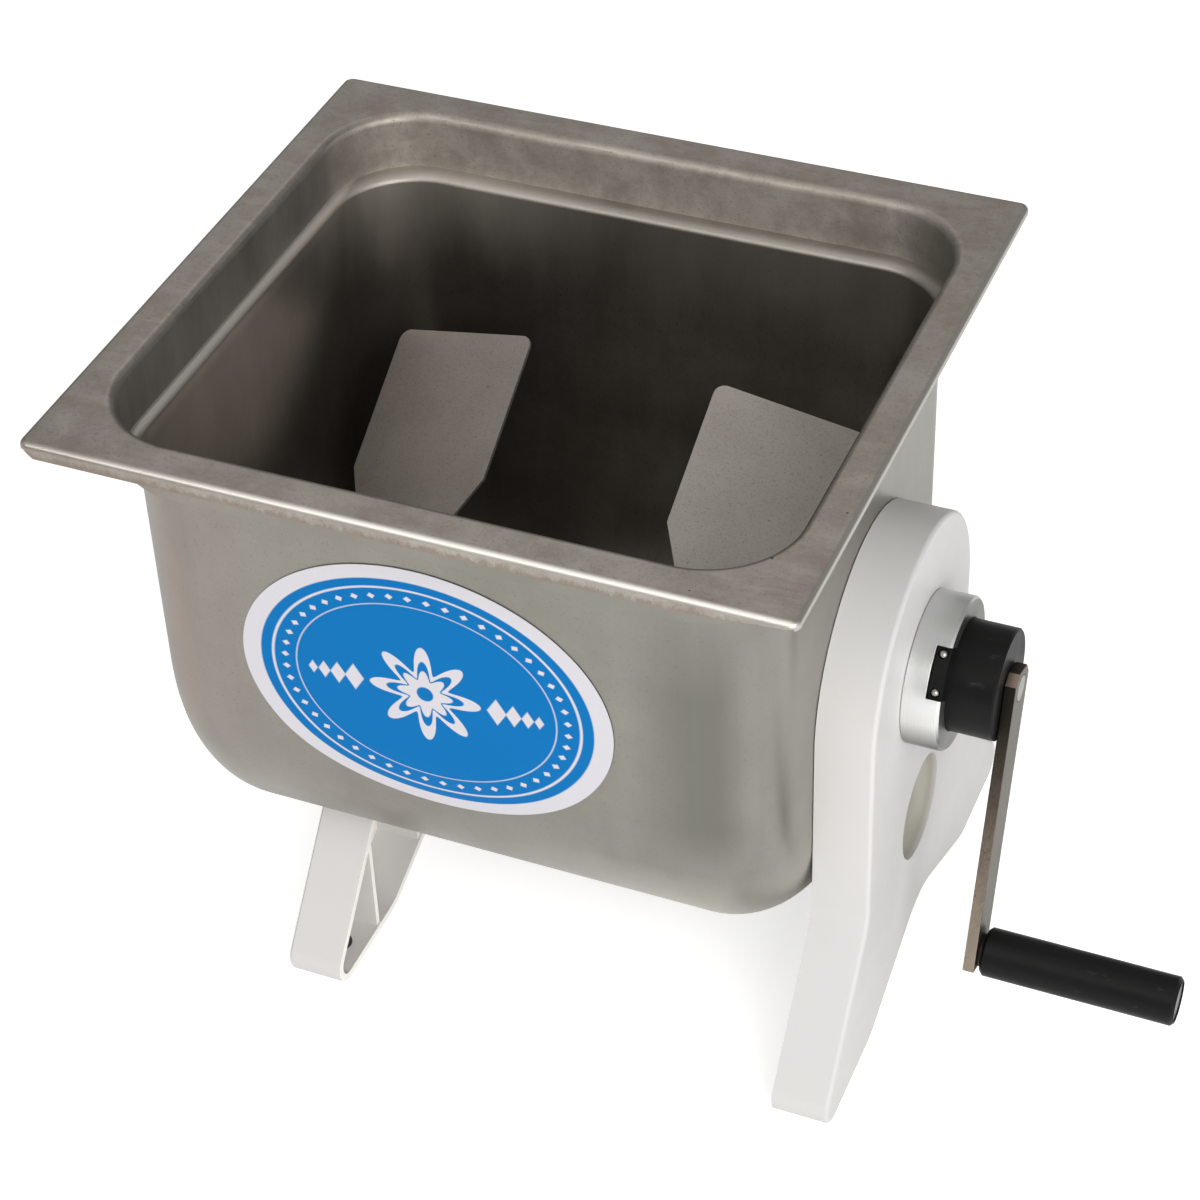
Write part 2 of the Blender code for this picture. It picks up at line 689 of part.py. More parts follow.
def make_stand():
    """The right stand: a shell behind the crank that carries the bearing housing."""
    outline = stand_outline()
    stand = shell("right_stand", outline, STAND_X, STAND_OPEN_X, STAND_EDGE)
    inner_x = STAND_X - LEG_WALL / 2
    rib_x = STAND_OPEN_X + RIB_SETBACK
    boss = SLEEVE_RADIUS + HUB_BOSS_WALL
    combine(stand, cylinder(boss, rib_x, inner_x, z=HUB_Z), "UNION", "hub_boss")
    floor_x = STAND_X - RECESS_DEPTH
    cup = cylinder(RECESS_RADIUS + LEG_WALL, floor_x - LEG_WALL, inner_x, RECESS_Y, RECESS_HEIGHT)
    combine(stand, cup, "UNION", "recess_cup")
    top = HUB_Z + STAND_RADIUS
    half = RIB / 2
    boxes = []
    for y in (-RIB_OUTER_Y, -RIB_INNER_Y, RIB_INNER_Y, RIB_OUTER_Y):
        boxes.append(((y - half, 0), (y + half, top)))
    for height in RIB_LEVELS:
        boxes.append(((-RIM_WIDTH / 2, height - half), (RIM_WIDTH / 2, height + half)))
    add_ribs(stand, outline, STAND_X, STAND_OPEN_X, boxes)
    for label, y in (("front", -PIN_Y), ("rear", PIN_Y)):
        pin_boss = cylinder(
            PIN_RADIUS + SEAT_GAP + PIN_BOSS_WALL, rib_x, inner_x, y, PIN_HEIGHT, SMALL_ROUND
        )
        combine(stand, pin_boss, "UNION", f"pin_boss_{label}")
    bore = cylinder(SLEEVE_RADIUS + SEAT_GAP, WALL_OUT, STAND_X + LEG_WALL, z=HUB_Z)
    combine(stand, bore, "DIFFERENCE", "hub_bore")
    recess = bowl(RECESS_RADIUS, RECESS_FILLET, floor_x, STAND_X + LEG_WALL, RECESS_Y, RECESS_HEIGHT)
    combine(stand, recess, "DIFFERENCE", "recess")
    for label, y in (("front", -PIN_Y), ("rear", PIN_Y)):
        end = STAND_OPEN_X + PIN_LENGTH + SEAT_GAP
        hole = cylinder(PIN_RADIUS + SEAT_GAP, WALL_OUT, end, y, PIN_HEIGHT, SMALL_ROUND)
        combine(stand, hole, "DIFFERENCE", f"pin_hole_{label}")
    pad_seats(stand, (STAND_X + STAND_OPEN_X) / 2)


def stud_frame(side, y):
    """A frame on the tank's round bottom whose Z points away from the trough's axis, downwards."""
    turn = math.asin(y / TROUGH_RADIUS)
    return empty(f"leg_fixing_{side}", LEG_FRAME, (0, 0, 0), turn)


def make_leg():
    """The left leg: a shell under the tank, with its open side towards the crank."""
    outline = leg_outline()
    open_x = LEG_X + LEG_DEPTH
    leg = shell("left_leg", outline, LEG_X, open_x, LEG_EDGE)
    half = RIB / 2
    top = HUB_Z
    boxes = [
        ((y - half, 0), (y + half, top))
        for y in (-RIB_OUTER_Y, -RIB_INNER_Y, 0, RIB_INNER_Y, RIB_OUTER_Y)
    ]
    add_ribs(leg, outline, LEG_X, open_x, boxes)
    pad_seats(leg, LEG_X + LEG_DEPTH / 2)
    for side, y in (("front", -STUD_Y), ("rear", STUD_Y)):
        frame = stud_frame(side, y)
        depth = SADDLE_RADIUS + LEG_WALL
        hole = upright(STUD_RADIUS + SEAT_GAP, -depth - LEG_WALL, -TROUGH_RADIUS, 0)
        cut = combine(leg, hole, "DIFFERENCE", f"stud_hole_{side}")
        cut.parent = frame
        make_leg_fixing(side, frame, -depth - 2 * SEAT_GAP)


def make_leg_fixing(side, frame, wall_z):
    """The stud welded to the tank, with its washer and nut inside the leg."""
    start = -SADDLE_RADIUS
    stud = upright(STUD_RADIUS, start - STUD_LENGTH, start, 0, SMALL_ROUND)
    piece(f"leg_stud_{side}", stud, STEEL, frame)
    bore = STUD_RADIUS + SEAT_GAP
    washer_z = wall_z - WASHER_THICKNESS
    ring = [(wall_z, WASHER_RADIUS), (washer_z, WASHER_RADIUS), (washer_z, bore), (wall_z, bore)]
    turned(f"leg_washer_{side}", STEEL, frame, ring, SMALL_ROUND, "Z")
    nut_top = washer_z - SEAT_GAP
    corner_radius = NUT_FLATS / 2 / math.cos(math.pi / 6)
    nut = upright(corner_radius, nut_top - NUT_HEIGHT, nut_top, 0, 6)
    nut = piece(f"leg_nut_{side}", nut, STEEL, frame, smooth=False)
    thread = upright(bore, nut_top - 2 * NUT_HEIGHT, nut_top + NUT_HEIGHT, 0, SMALL_ROUND)
    combine(nut, thread, "DIFFERENCE", "thread")


def make_pads():
    """Rubber pads under the soles, each with a stem and a head that holds it in the leg."""
    leg_x = {"left": LEG_X + LEG_DEPTH / 2, "right": (STAND_X + STAND_OPEN_X) / 2}
    disc_top = PAD_PROUD + PAD_SEAT_DEPTH
    head = PAD_PROUD + LEG_WALL + SEAT_GAP
    profile = [
        (head + PAD_HEAD_HEIGHT, 0),
        (head + PAD_HEAD_HEIGHT, PAD_STEM_RADIUS),
        (head, PAD_HEAD_RADIUS),
        (head, PAD_STEM_RADIUS),
        (disc_top, PAD_STEM_RADIUS),
        (disc_top, PAD_RADIUS),
        (0, PAD_RADIUS),
        (0, 0),
    ]
    for side, x in leg_x.items():
        for end, y in PAD_PLACES:
            name = f"foot_pad_{side}_{end}"
            pad = turned(name, DARK_RUBBER, CHURN, profile, SMALL_ROUND, "Z", closed=False)
            pad.location = (x, y, 0)


def make_pins():
    """Pins welded to the tank's right wall, which stop the stand from turning on the housing."""
    for label, y in (("front", -PIN_Y), ("rear", PIN_Y)):
        start = WALL_OUT + SEAT_GAP
        pin = cylinder(PIN_RADIUS, start, start + PIN_LENGTH - SEAT_GAP, y, PIN_HEIGHT, SMALL_ROUND)
        piece(f"locating_pin_{label}", pin, STEEL, CHURN)


def make_housing():
    """The turned bearing housing, clamped through the stand and the tank's wall."""
    seal_end = SEAL_X + SEAL_LENGTH + SEAT_GAP
    profile = [
        (RING_FACE_X, FLANGE_RADIUS - FLANGE_CHAMFER),
        (RING_FACE_X - FLANGE_CHAMFER, FLANGE_RADIUS),
        (FLANGE_X, FLANGE_RADIUS),
        (FLANGE_X, SLEEVE_RADIUS),
        (STAND_OPEN_X, SLEEVE_RADIUS),
        (STAND_OPEN_X, NOSE_RADIUS),
        (NOSE_X, NOSE_RADIUS),
        (NOSE_X, SHAFT_RADIUS + RUNNING_GAP),
        (SEAL_X, SHAFT_RADIUS + RUNNING_GAP),
        (SEAL_X, SEAL_RADIUS + SEAT_GAP),
        (seal_end, SEAL_RADIUS + SEAT_GAP),
        (seal_end, PLUG_STEP_RADIUS + SEAT_GAP),
        (PLUG_STEP_X - SEAT_GAP, PLUG_STEP_RADIUS + SEAT_GAP),
        (PLUG_STEP_X - SEAT_GAP, PLUG_RADIUS + SEAT_GAP),
        (RING_FACE_X, PLUG_RADIUS + SEAT_GAP),
    ]
    housing = turned("bearing_housing", ALUMINIUM, HUB, profile)
    half = NOTCH_WIDTH / 2
    notch = box(
        (NOTCH_X, -2 * FLANGE_RADIUS, -half),
        (RING_FACE_X + NOTCH_DEPTH, -PLUG_STEP_RADIUS, half),
        -NOTCH_ANGLE,
    )
    combine(housing, notch, "DIFFERENCE", "notch")


def ring_profile(low, high, inner, outer):
    return [(high, outer), (low, outer), (low, inner), (high, inner)]


def make_housing_fixings():
    """The gasket and the ring nut inside the tank, and the lip seal in the housing."""
    gasket_right = WALL_IN - SEAT_GAP
    gasket_left = gasket_right - GASKET_THICKNESS
    bore = NOSE_RADIUS + SEAT_GAP
    gasket = ring_profile(gasket_left, gasket_right, bore, GASKET_RADIUS)
    turned("wall_gasket", SILICONE, HUB, gasket)
    nut_right = gasket_left - SEAT_GAP
    nut = ring_profile(nut_right - HOUSING_NUT_LENGTH, nut_right, bore, HOUSING_NUT_RADIUS)
    nut = turned("housing_nut", STEEL, HUB, nut)
    half = HOUSING_NUT_SLOT / 2
    edge = (bore + HOUSING_NUT_RADIUS) / 2
    for number in range(2):
        slot = box(
            (nut_right - 2 * HOUSING_NUT_LENGTH, edge, -half),
            (nut_right + HOUSING_NUT_LENGTH, 2 * HOUSING_NUT_RADIUS, half),
            math.pi * (number + 0.5),
        )
        combine(nut, slot, "DIFFERENCE", f"spanner_slot_{number}")
    seal = ring_profile(
        SEAL_X + SEAT_GAP, SEAL_X + SEAL_LENGTH, SHAFT_RADIUS + RUNNING_GAP, SEAL_RADIUS
    )
    turned("shaft_seal", DARK_RUBBER, HUB, seal)


def make_plug():
    """The black bearing plug, keyed into the housing's notch by its lug."""
    profile = [
        (PLUG_FACE_X, 0),
        (PLUG_FACE_X, PLUG_RADIUS - PLUG_CHAMFER),
        (PLUG_FACE_X - PLUG_CHAMFER, PLUG_RADIUS),
        (PLUG_STEP_X, PLUG_RADIUS),
        (PLUG_STEP_X, PLUG_STEP_RADIUS),
        (PLUG_NOSE_X, PLUG_STEP_RADIUS),
        (PLUG_NOSE_X, 0),
    ]
    plug = turned("bearing_plug", BLACK_PLASTIC, HUB, profile, closed=False)
    lug_low = NOTCH_X + LUG_CLEARANCE
    half = NOTCH_WIDTH / 2 - LUG_CLEARANCE
    lug = combine(plug, cylinder(LUG_REACH, lug_low, RING_FACE_X), "UNION", "lug")
    trim = lug.modifiers.new("trim", "BOOLEAN")
    trim.operation = "INTERSECT"
    sides = box(
        (NOTCH_X - NOTCH_DEPTH, -2 * LUG_REACH, -half),
        (RING_FACE_X + NOTCH_DEPTH, -SHAFT_RADIUS, half),
        -NOTCH_ANGLE,
    )
    trim.object = helper("bearing_plug_lug_sides", sides, HUB)
    bore = cylinder(
        SHAFT_RADIUS + RUNNING_GAP, PLUG_NOSE_X - LEG_WALL, PLUG_FACE_X + LEG_WALL, steps=SMALL_ROUND
    )
    combine(plug, bore, "DIFFERENCE", "shaft_bore")
    for label, side in (("upper", 1), ("lower", -1)):
        make_detent(plug, label, side)


def make_detent(plug, label, side):
    """One ball of the detent, in its pocket in the lug."""
    centre = LUG_REACH + BALL_PROUD - BALL_RADIUS
    turn = NOTCH_ANGLE + side * math.asin(BALL_SPREAD / LUG_REACH)
    frame = empty(f"detent_{label}", HUB, (NOTCH_X + BALL_INSET, 0, 0), math.pi / 2 - turn)
    pocket_radius = BALL_RADIUS + SEAT_GAP
    floor = centre - pocket_radius
    pocket = combine(plug, upright(pocket_radius, floor, 2 * centre, 0), "DIFFERENCE", f"ball_{label}")
    pocket.parent = frame
    bm = bmesh.new()
    bmesh.ops.create_uvsphere(bm, u_segments=16, v_segments=10, radius=BALL_RADIUS)
    bmesh.ops.translate(bm, vec=(0, 0, centre), verts=bm.verts)
    piece(f"detent_ball_{label}", finished(bm, "ball"), STEEL, frame)


def make_crank_shaft():
    """The shaft that turns in the plug: a spigot for the arm, and a square tongue inside the tank."""
    shoulder = ARM_IN_X - SEAT_GAP
    round_end = TONGUE_X + TONGUE_LENGTH
    profile = [
        (ARM_OUT_X, 0),
        (ARM_OUT_X, SPIGOT_RADIUS),
        (shoulder, SPIGOT_RADIUS),
        (shoulder, SHAFT_RADIUS),
        (round_end, SHAFT_RADIUS),
        (round_end, 0),
    ]
    shaft = turned("crank_shaft", STEEL, CRANK, profile, MEDIUM_ROUND, closed=False)
    half = TONGUE_FLATS / 2
    tongue = box((TONGUE_X, -half, -half), (round_end + TONGUE_FLATS, half, half))
    combine(shaft, tongue, "UNION", "tongue")


def make_arm():
    """The flat bar of the crank, hanging along -Z in the crank's own frame."""
    half = ARM_WIDTH / 2
    end = -CRANK_RADIUS - ARM_BOTTOM
    outline = [
        (half, ARM_TOP - ARM_CHAMFER),
        (half - ARM_CHAMFER, ARM_TOP),
        (-half + ARM_CHAMFER, ARM_TOP),
        (-half, ARM_TOP - ARM_CHAMFER),
        (-half, end),
        (half, end),
    ]
    arm = piece("crank_arm", prism(outline, ARM_IN_X, ARM_OUT_X), ARM_STEEL, CRANK, smooth=False)
    low, high = ARM_IN_X - ARM_THICKNESS, ARM_OUT_X + ARM_THICKNESS
    hub_hole = cylinder(SPIGOT_RADIUS + SEAT_GAP, low, high, steps=MEDIUM_ROUND)
    combine(arm, hub_hole, "DIFFERENCE", "hub_hole")
    axle_hole = cylinder(AXLE_RADIUS + SEAT_GAP, low, high, z=-CRANK_RADIUS, steps=SMALL_ROUND)
    combine(arm, axle_hole, "DIFFERENCE", "axle_hole")


def make_grip():
    """The black sleeve that turns on its axle, with the washer behind it."""
    washer = ring_profile(
        GRIP_WASHER_X,
        GRIP_WASHER_X + GRIP_WASHER_THICKNESS,
        AXLE_RADIUS + SEAT_GAP,
        GRIP_WASHER_RADIUS,
    )
    turned("grip_washer", STEEL, GRIP, washer, SMALL_ROUND)
    seat_x = GRIP_END_X - AXLE_HEAD_INSET - AXLE_HEAD_LENGTH - SEAT_GAP
    sleeve = [
        (GRIP_END_X, GRIP_RADIUS - GRIP_CHAMFER),
        (GRIP_END_X - GRIP_CHAMFER, GRIP_RADIUS),
        (GRIP_X + GRIP_CHAMFER, GRIP_RADIUS),
        (GRIP_X, GRIP_RADIUS - GRIP_CHAMFER),
        (GRIP_X, AXLE_RADIUS + RUNNING_GAP),
        (seat_x, AXLE_RADIUS + RUNNING_GAP),
        (seat_x, AXLE_HEAD_RADIUS + RUNNING_GAP),
        (GRIP_END_X, AXLE_HEAD_RADIUS + RUNNING_GAP),
    ]
    turned("grip_sleeve", BLACK_PLASTIC, GRIP, sleeve, MEDIUM_ROUND)
    head_x = GRIP_END_X - AXLE_HEAD_INSET
    axle = [
        (head_x, 0),
        (head_x, AXLE_HEAD_RADIUS),
        (head_x - AXLE_HEAD_LENGTH, AXLE_HEAD_RADIUS),
        (head_x - AXLE_HEAD_LENGTH, AXLE_RADIUS),
        (ARM_IN_X, AXLE_RADIUS),
        (ARM_IN_X, 0),
    ]
    axle = turned("grip_axle", ALUMINIUM, GRIP, axle, MEDIUM_ROUND, closed=False)
    for label, side in (("upper", 1), ("lower", -1)):
        hole = cylinder(
            SPANNER_HOLE_RADIUS,
            head_x - SPANNER_HOLE_DEPTH,
            head_x + SPANNER_HOLE_DEPTH,
            z=side * SPANNER_HOLE_SPREAD,
            steps=TINY_ROUND,
        )
        combine(axle, hole, "DIFFERENCE", f"spanner_hole_{label}")


def make_rotor():
    """The paddle shaft, with a square socket for the crank's tongue and a bush at its left end."""
    bush_outer = PIVOT_RADIUS + RUNNING_GAP + BUSH_WALL
    bore = bush_outer + SEAT_GAP
    bore_end = ROTOR_LEFT_X + BUSH_LENGTH + BUSH_END_ROOM
    profile = [
        (ROTOR_RIGHT_X, 0),
        (ROTOR_RIGHT_X, ROTOR_RADIUS),
        (ROTOR_LEFT_X, ROTOR_RADIUS),
        (ROTOR_LEFT_X, bore),
        (bore_end, bore),
        (bore_end, 0),
    ]
    shaft = turned("paddle_shaft", STEEL, ROTOR, profile, MEDIUM_ROUND, closed=False)
    half = TONGUE_FLATS / 2 + RUNNING_GAP
    socket_x = TONGUE_X - SOCKET_SPARE
    socket = box((socket_x, -half, -half), (ROTOR_RIGHT_X + TONGUE_FLATS, half, half), CRANK_ANGLE)
    combine(shaft, socket, "DIFFERENCE", "socket")
    bush = ring_profile(
        ROTOR_LEFT_X, ROTOR_LEFT_X + BUSH_LENGTH, PIVOT_RADIUS + RUNNING_GAP, bush_outer
    )
    turned("left_bush", BUSH_PLASTIC, ROTOR, bush, MEDIUM_ROUND)
    make_paddle("paddle_left", LEFT_PADDLE)
    make_paddle("paddle_right", RIGHT_PADDLE)


def make_paddle(name, place):
    """A flat blade that leans back from the shaft and is twisted about its own length."""
    foot_half = PADDLE_HALF_WIDTH - PADDLE_TAPER * (PADDLE_SHOULDER - PADDLE_FOOT)
    outline = rounded(
        [
            (-foot_half, PADDLE_FOOT, 0),
            (foot_half, PADDLE_FOOT, 0),
            (PADDLE_HALF_WIDTH, PADDLE_SHOULDER, PADDLE_SHOULDER_ROUND),
            (PADDLE_HALF_WIDTH, PADDLE_TIP, PADDLE_TIP_ROUND),
            (-PADDLE_HALF_WIDTH, PADDLE_TIP, PADDLE_TIP_ROUND),
            (-PADDLE_HALF_WIDTH, PADDLE_SHOULDER, PADDLE_SHOULDER_ROUND),
        ]
    )
    bm = prism_bmesh(outline, -PADDLE_THICKNESS / 2, PADDLE_THICKNESS / 2)
    # The outline is drawn in Y and Z: its width turns towards X, then the blade leans to the back.
    width_turn = Matrix.Rotation(-math.pi / 2 + place["twist"], 3, "Z")
    lean = Matrix.Rotation(-place["lean"], 3, "X")
    bmesh.ops.rotate(bm, matrix=lean @ width_turn, verts=bm.verts)
    bmesh.ops.translate(bm, vec=(place["x"], 0, 0), verts=bm.verts)
    blade = piece(name, finished(bm, name), PADDLE_STEEL, ROTOR, smooth=False)
    reach = 2 * PADDLE_HALF_WIDTH
    relief = cylinder(ROTOR_RADIUS + SEAT_GAP, place["x"] - reach, place["x"] + reach)
    combine(blade, relief, "DIFFERENCE", "shaft_relief")


def make_left_pivot():
    """The pin on the tank's left wall that carries the paddle shaft."""
    flange_x = -WALL_IN + SEAT_GAP
    end_x = PIVOT_IN_X + PIVOT_LENGTH
    profile = [
        (end_x, 0),
        (end_x, PIVOT_RADIUS),
        (PIVOT_IN_X, PIVOT_RADIUS),
        (PIVOT_IN_X, PIVOT_FLANGE_RADIUS),
        (flange_x, PIVOT_FLANGE_RADIUS),
        (flange_x, 0),
    ]
    turned("left_pivot_pin", STEEL, HUB, profile, MEDIUM_ROUND, closed=False)


clear_scene()
PARTS = new_collection("butter_churn")
CUTTERS = new_collection("cutters")
CHURN = empty("churn_frame", None, (TANK_X, 0, 0))
HUB = empty("hub_frame", CHURN, (0, 0, HUB_Z))
CRANK = empty("crank_frame", HUB, (0, 0, 0), CRANK_ANGLE)
GRIP = empty("grip_frame", CRANK, (0, 0, -CRANK_RADIUS))
ROTOR = empty("rotor_frame", HUB, (0, 0, 0))
LEG_FRAME = empty("leg_frame", CHURN, (LEG_X + LEG_DEPTH / 2, 0, HUB_Z))

make_tank()
make_label()
make_stand()
make_leg()
make_pads()
make_pins()
make_housing()
make_housing_fixings()
make_left_pivot()
make_plug()
make_crank_shaft()
make_arm()
make_grip()
make_rotor()
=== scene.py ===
"""Looks, floor, lights and camera of a butter churn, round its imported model.

Every node gets a finer copy of its own shape, with rounder edges, and a material made of nodes.
Sizes along X are measured from the middle of the tank, and heights from the floor, in metres.
"""

import json
import math

import bmesh
import bpy
from mathutils import Matrix, Vector

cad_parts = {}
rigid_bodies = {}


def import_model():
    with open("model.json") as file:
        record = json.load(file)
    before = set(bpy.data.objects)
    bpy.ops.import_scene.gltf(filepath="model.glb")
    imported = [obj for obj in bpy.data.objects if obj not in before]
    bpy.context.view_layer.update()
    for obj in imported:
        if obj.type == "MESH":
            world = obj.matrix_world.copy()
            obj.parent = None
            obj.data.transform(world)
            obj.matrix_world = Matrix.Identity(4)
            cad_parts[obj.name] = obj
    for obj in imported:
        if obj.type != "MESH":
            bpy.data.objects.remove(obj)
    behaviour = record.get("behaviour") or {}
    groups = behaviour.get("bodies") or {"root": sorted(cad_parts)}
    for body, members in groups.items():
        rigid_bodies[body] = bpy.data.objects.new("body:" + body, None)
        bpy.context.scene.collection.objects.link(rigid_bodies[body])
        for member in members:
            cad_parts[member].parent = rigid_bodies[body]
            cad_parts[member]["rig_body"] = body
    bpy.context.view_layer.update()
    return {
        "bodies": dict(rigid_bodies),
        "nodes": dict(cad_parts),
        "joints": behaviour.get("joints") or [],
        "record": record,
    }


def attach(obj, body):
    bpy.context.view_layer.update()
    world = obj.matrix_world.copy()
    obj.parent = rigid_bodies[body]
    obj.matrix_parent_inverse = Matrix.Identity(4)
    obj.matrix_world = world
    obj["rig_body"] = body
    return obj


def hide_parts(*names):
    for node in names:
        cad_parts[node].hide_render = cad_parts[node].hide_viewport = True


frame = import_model()

# Clearances
SEAT_GAP = 0.0003  # between two pieces that rest on each other
RUNNING_GAP = 0.0003  # between a shaft and the bore it turns in

# Tank, pressed from one sheet
FLOOR_CLEARANCE = 0.055  # from the floor to the lowest point of the round bottom
SHEET = 0.0012
RIM_LENGTH = 0.354
RIM_WIDTH = 0.325
RIM_CORNER = 0.005
RIM_FOLD = 0.0025
LIP_DROP = 0.007
OPENING_LENGTH = 0.315
OPENING_WIDTH = 0.282
OPENING_CORNER = 0.042
SHOULDER_DROP = 0.029
BODY_LENGTH = 0.308
BODY_WIDTH = 0.268
BODY_CORNER = 0.040
HUB_DROP = 0.151  # from the rim to the shaft, which is also the axis of the round bottom

# Legs and stand, moulded shells that share one foot outline
LEG_DEPTH = 0.028
LEG_WALL = 0.004
RIB = 0.003
RIB_SETBACK = 0.001
FOOT_Y = 0.0105  # the middle of the foot lies behind the shaft
TOE_REACH = 0.149  # from there to each toe
TOE_RADIUS = 0.011
ARCH_HALF = 0.074
ARCH_FOOT_RADIUS = 0.030
ARCH_PEAK = 0.031
ARCH_RADIUS = 0.045
STAND_RADIUS = 0.0725
KNEE_HEIGHT = 0.088
KNEE_RADIUS = 0.022
STAND_EDGE = 0.0022
LEG_EDGE = 0.0018
LEG_SETBACK = 0.054  # from the tank's left wall to the outer face of the left leg
SADDLE_HALF = 0.0745
SADDLE_CORNER = 0.005
RIB_INNER_Y = 0.030
RIB_OUTER_Y = 0.081
RIB_LEVELS = (0.055, 0.100, 0.145)
HUB_BOSS_WALL = 0.008
RECESS_Y = 0.004
RECESS_DROP = 0.093  # below the shaft
RECESS_RADIUS = 0.0265
RECESS_DEPTH = 0.009
RECESS_FILLET = 0.006

# Foot pads
PAD_PROUD = 0.0015
PAD_RADIUS = 0.008
PAD_SEAT_DEPTH = 0.0015
PAD_STEM_RADIUS = 0.003
PAD_HEAD_RADIUS = 0.0068
PAD_HEAD_HEIGHT = 0.006
PAD_SETBACK = 0.0388  # from the toe to the middle of a pad

# Fixings of the legs to the tank
STUD_RADIUS = 0.003
STUD_LENGTH = 0.013
STUD_Y = 0.055
WASHER_RADIUS = 0.0062
WASHER_THICKNESS = 0.0012
NUT_FLATS = 0.010
NUT_HEIGHT = 0.005
PIN_RADIUS = 0.004
PIN_LENGTH = 0.012
PIN_BOSS_WALL = 0.003
PIN_Y = 0.050
PIN_DROP = 0.065  # below the shaft

# Bearing housing, with its gasket, nut and seal
FLANGE_RADIUS = 0.0366
FLANGE_LENGTH = 0.0178
FLANGE_CHAMFER = 0.0012
SLEEVE_RADIUS = 0.030
NOSE_RADIUS = 0.018
NOSE_LENGTH = 0.0105  # past the inner face of the tank's wall
GASKET_RADIUS = 0.025
GASKET_THICKNESS = 0.002
HOUSING_NUT_RADIUS = 0.026
HOUSING_NUT_LENGTH = 0.007
HOUSING_NUT_SLOT = 0.005
SEAL_RADIUS = 0.0135
SEAL_LENGTH = 0.006
SEAL_STEP = 0.004  # wall between the seal and the nose's end
NOTCH_WIDTH = 0.0246
NOTCH_DEPTH = 0.007
NOTCH_ANGLE = math.radians(38.5)  # above level, on the front side

# Bearing plug with its lug and detent balls
PLUG_RADIUS = 0.0266
PLUG_PROUD = 0.0222
PLUG_CHAMFER = 0.0008
PLUG_STEP_RADIUS = 0.022
PLUG_LIP_DEPTH = 0.0123
PLUG_NOSE_LENGTH = 0.026
LUG_REACH = 0.0345
LUG_CLEARANCE = 0.0004
BALL_RADIUS = 0.0021
BALL_SPREAD = 0.009
BALL_INSET = 0.0034
BALL_PROUD = 0.0012

# Crank
CRANK_ANGLE = math.radians(-17)
CRANK_RADIUS = 0.1377
SHAFT_RADIUS = 0.008
SPIGOT_RADIUS = 0.0062
TONGUE_FLATS = 0.011
TONGUE_LENGTH = 0.028
ARM_WIDTH = 0.0227
ARM_THICKNESS = 0.0055
ARM_TOP = 0.0095
ARM_BOTTOM = 0.007
ARM_CHAMFER = 0.005

# Grip
GRIP_RADIUS = 0.0118
GRIP_LENGTH = 0.093
GRIP_CHAMFER = 0.0015
GRIP_WASHER_RADIUS = 0.008
GRIP_WASHER_THICKNESS = 0.0012
AXLE_RADIUS = 0.005
AXLE_HEAD_RADIUS = 0.0094
AXLE_HEAD_LENGTH = 0.003
AXLE_HEAD_INSET = 0.0008
SPANNER_HOLE_RADIUS = 0.0009
SPANNER_HOLE_SPREAD = 0.0076
SPANNER_HOLE_DEPTH = 0.002

# Paddle shaft, its left bearing and the paddles
ROTOR_RADIUS = 0.011
ROTOR_END_GAP = 0.0025  # from the housing's nose to the shaft's right end
SOCKET_SPARE = 0.0015
PIVOT_RADIUS = 0.006
PIVOT_LENGTH = 0.0195
PIVOT_FLANGE_RADIUS = 0.013
PIVOT_FLANGE_THICKNESS = 0.003
ROTOR_FLOAT = 0.0006
BUSH_WALL = 0.0022
BUSH_LENGTH = 0.019
BUSH_END_ROOM = 0.0027
PADDLE_THICKNESS = 0.0015
PADDLE_HALF_WIDTH = 0.0417
PADDLE_TIP = 0.1122
PADDLE_SHOULDER = 0.0357
PADDLE_TAPER = 0.52  # width lost on each side for each length nearer the shaft
PADDLE_FOOT = 0.004
PADDLE_TIP_ROUND = 0.006
PADDLE_SHOULDER_ROUND = 0.002
LEFT_PADDLE = {"x": -0.0867, "lean": math.radians(58), "twist": math.radians(-19.5)}
RIGHT_PADDLE = {"x": 0.0855, "lean": math.radians(63), "twist": math.radians(17.5)}

# Front label, a thin oval on the tank
LABEL_X = -0.0055
LABEL_DROP = 0.1144  # from the rim to the middle of the label
LABEL_HALF_LENGTH = 0.0896
LABEL_HALF_HEIGHT = 0.0695
LABEL_THICKNESS = 0.0003

# Rounded edges and small shapes that only show close up
CORNER_CUT = 0.005  # along the rim's long sides, where the lip ends short of the left corners
CORNER_TAPER = 0.050  # and where it runs out towards the right corners
SOFT_FILLET = 0.0045  # round the opening
SHOULDER_FALL = 0.0045
EDGE_ROUNDS = {
    "crank_arm": 0.0004,
    "paddle_left": 0.00025,
    "paddle_right": 0.00025,
    "bearing_housing": 0.0003,
    "bearing_plug": 0.0003,
    "right_stand": 0.0006,
    "left_leg": 0.0006,
    "housing_nut": 0.0003,
    "leg_nut_front": 0.0003,
    "leg_nut_rear": 0.0003,
}

# Fineness of round shapes
CORNER_STEPS = 16
TROUGH_STEPS = 80
FILLET_STEPS = 7
SADDLE_STEPS = 60
LABEL_STEPS = 64
BALL_STEPS = 32
LARGE_ROUND = 144
MEDIUM_ROUND = 96
SMALL_ROUND = 64
TINY_ROUND = 40
ARC_STEP = math.radians(3)
EDGE_SEGMENTS = 3
EDGE_ANGLE = math.radians(40)
SHARP_ANGLE = math.radians(32)

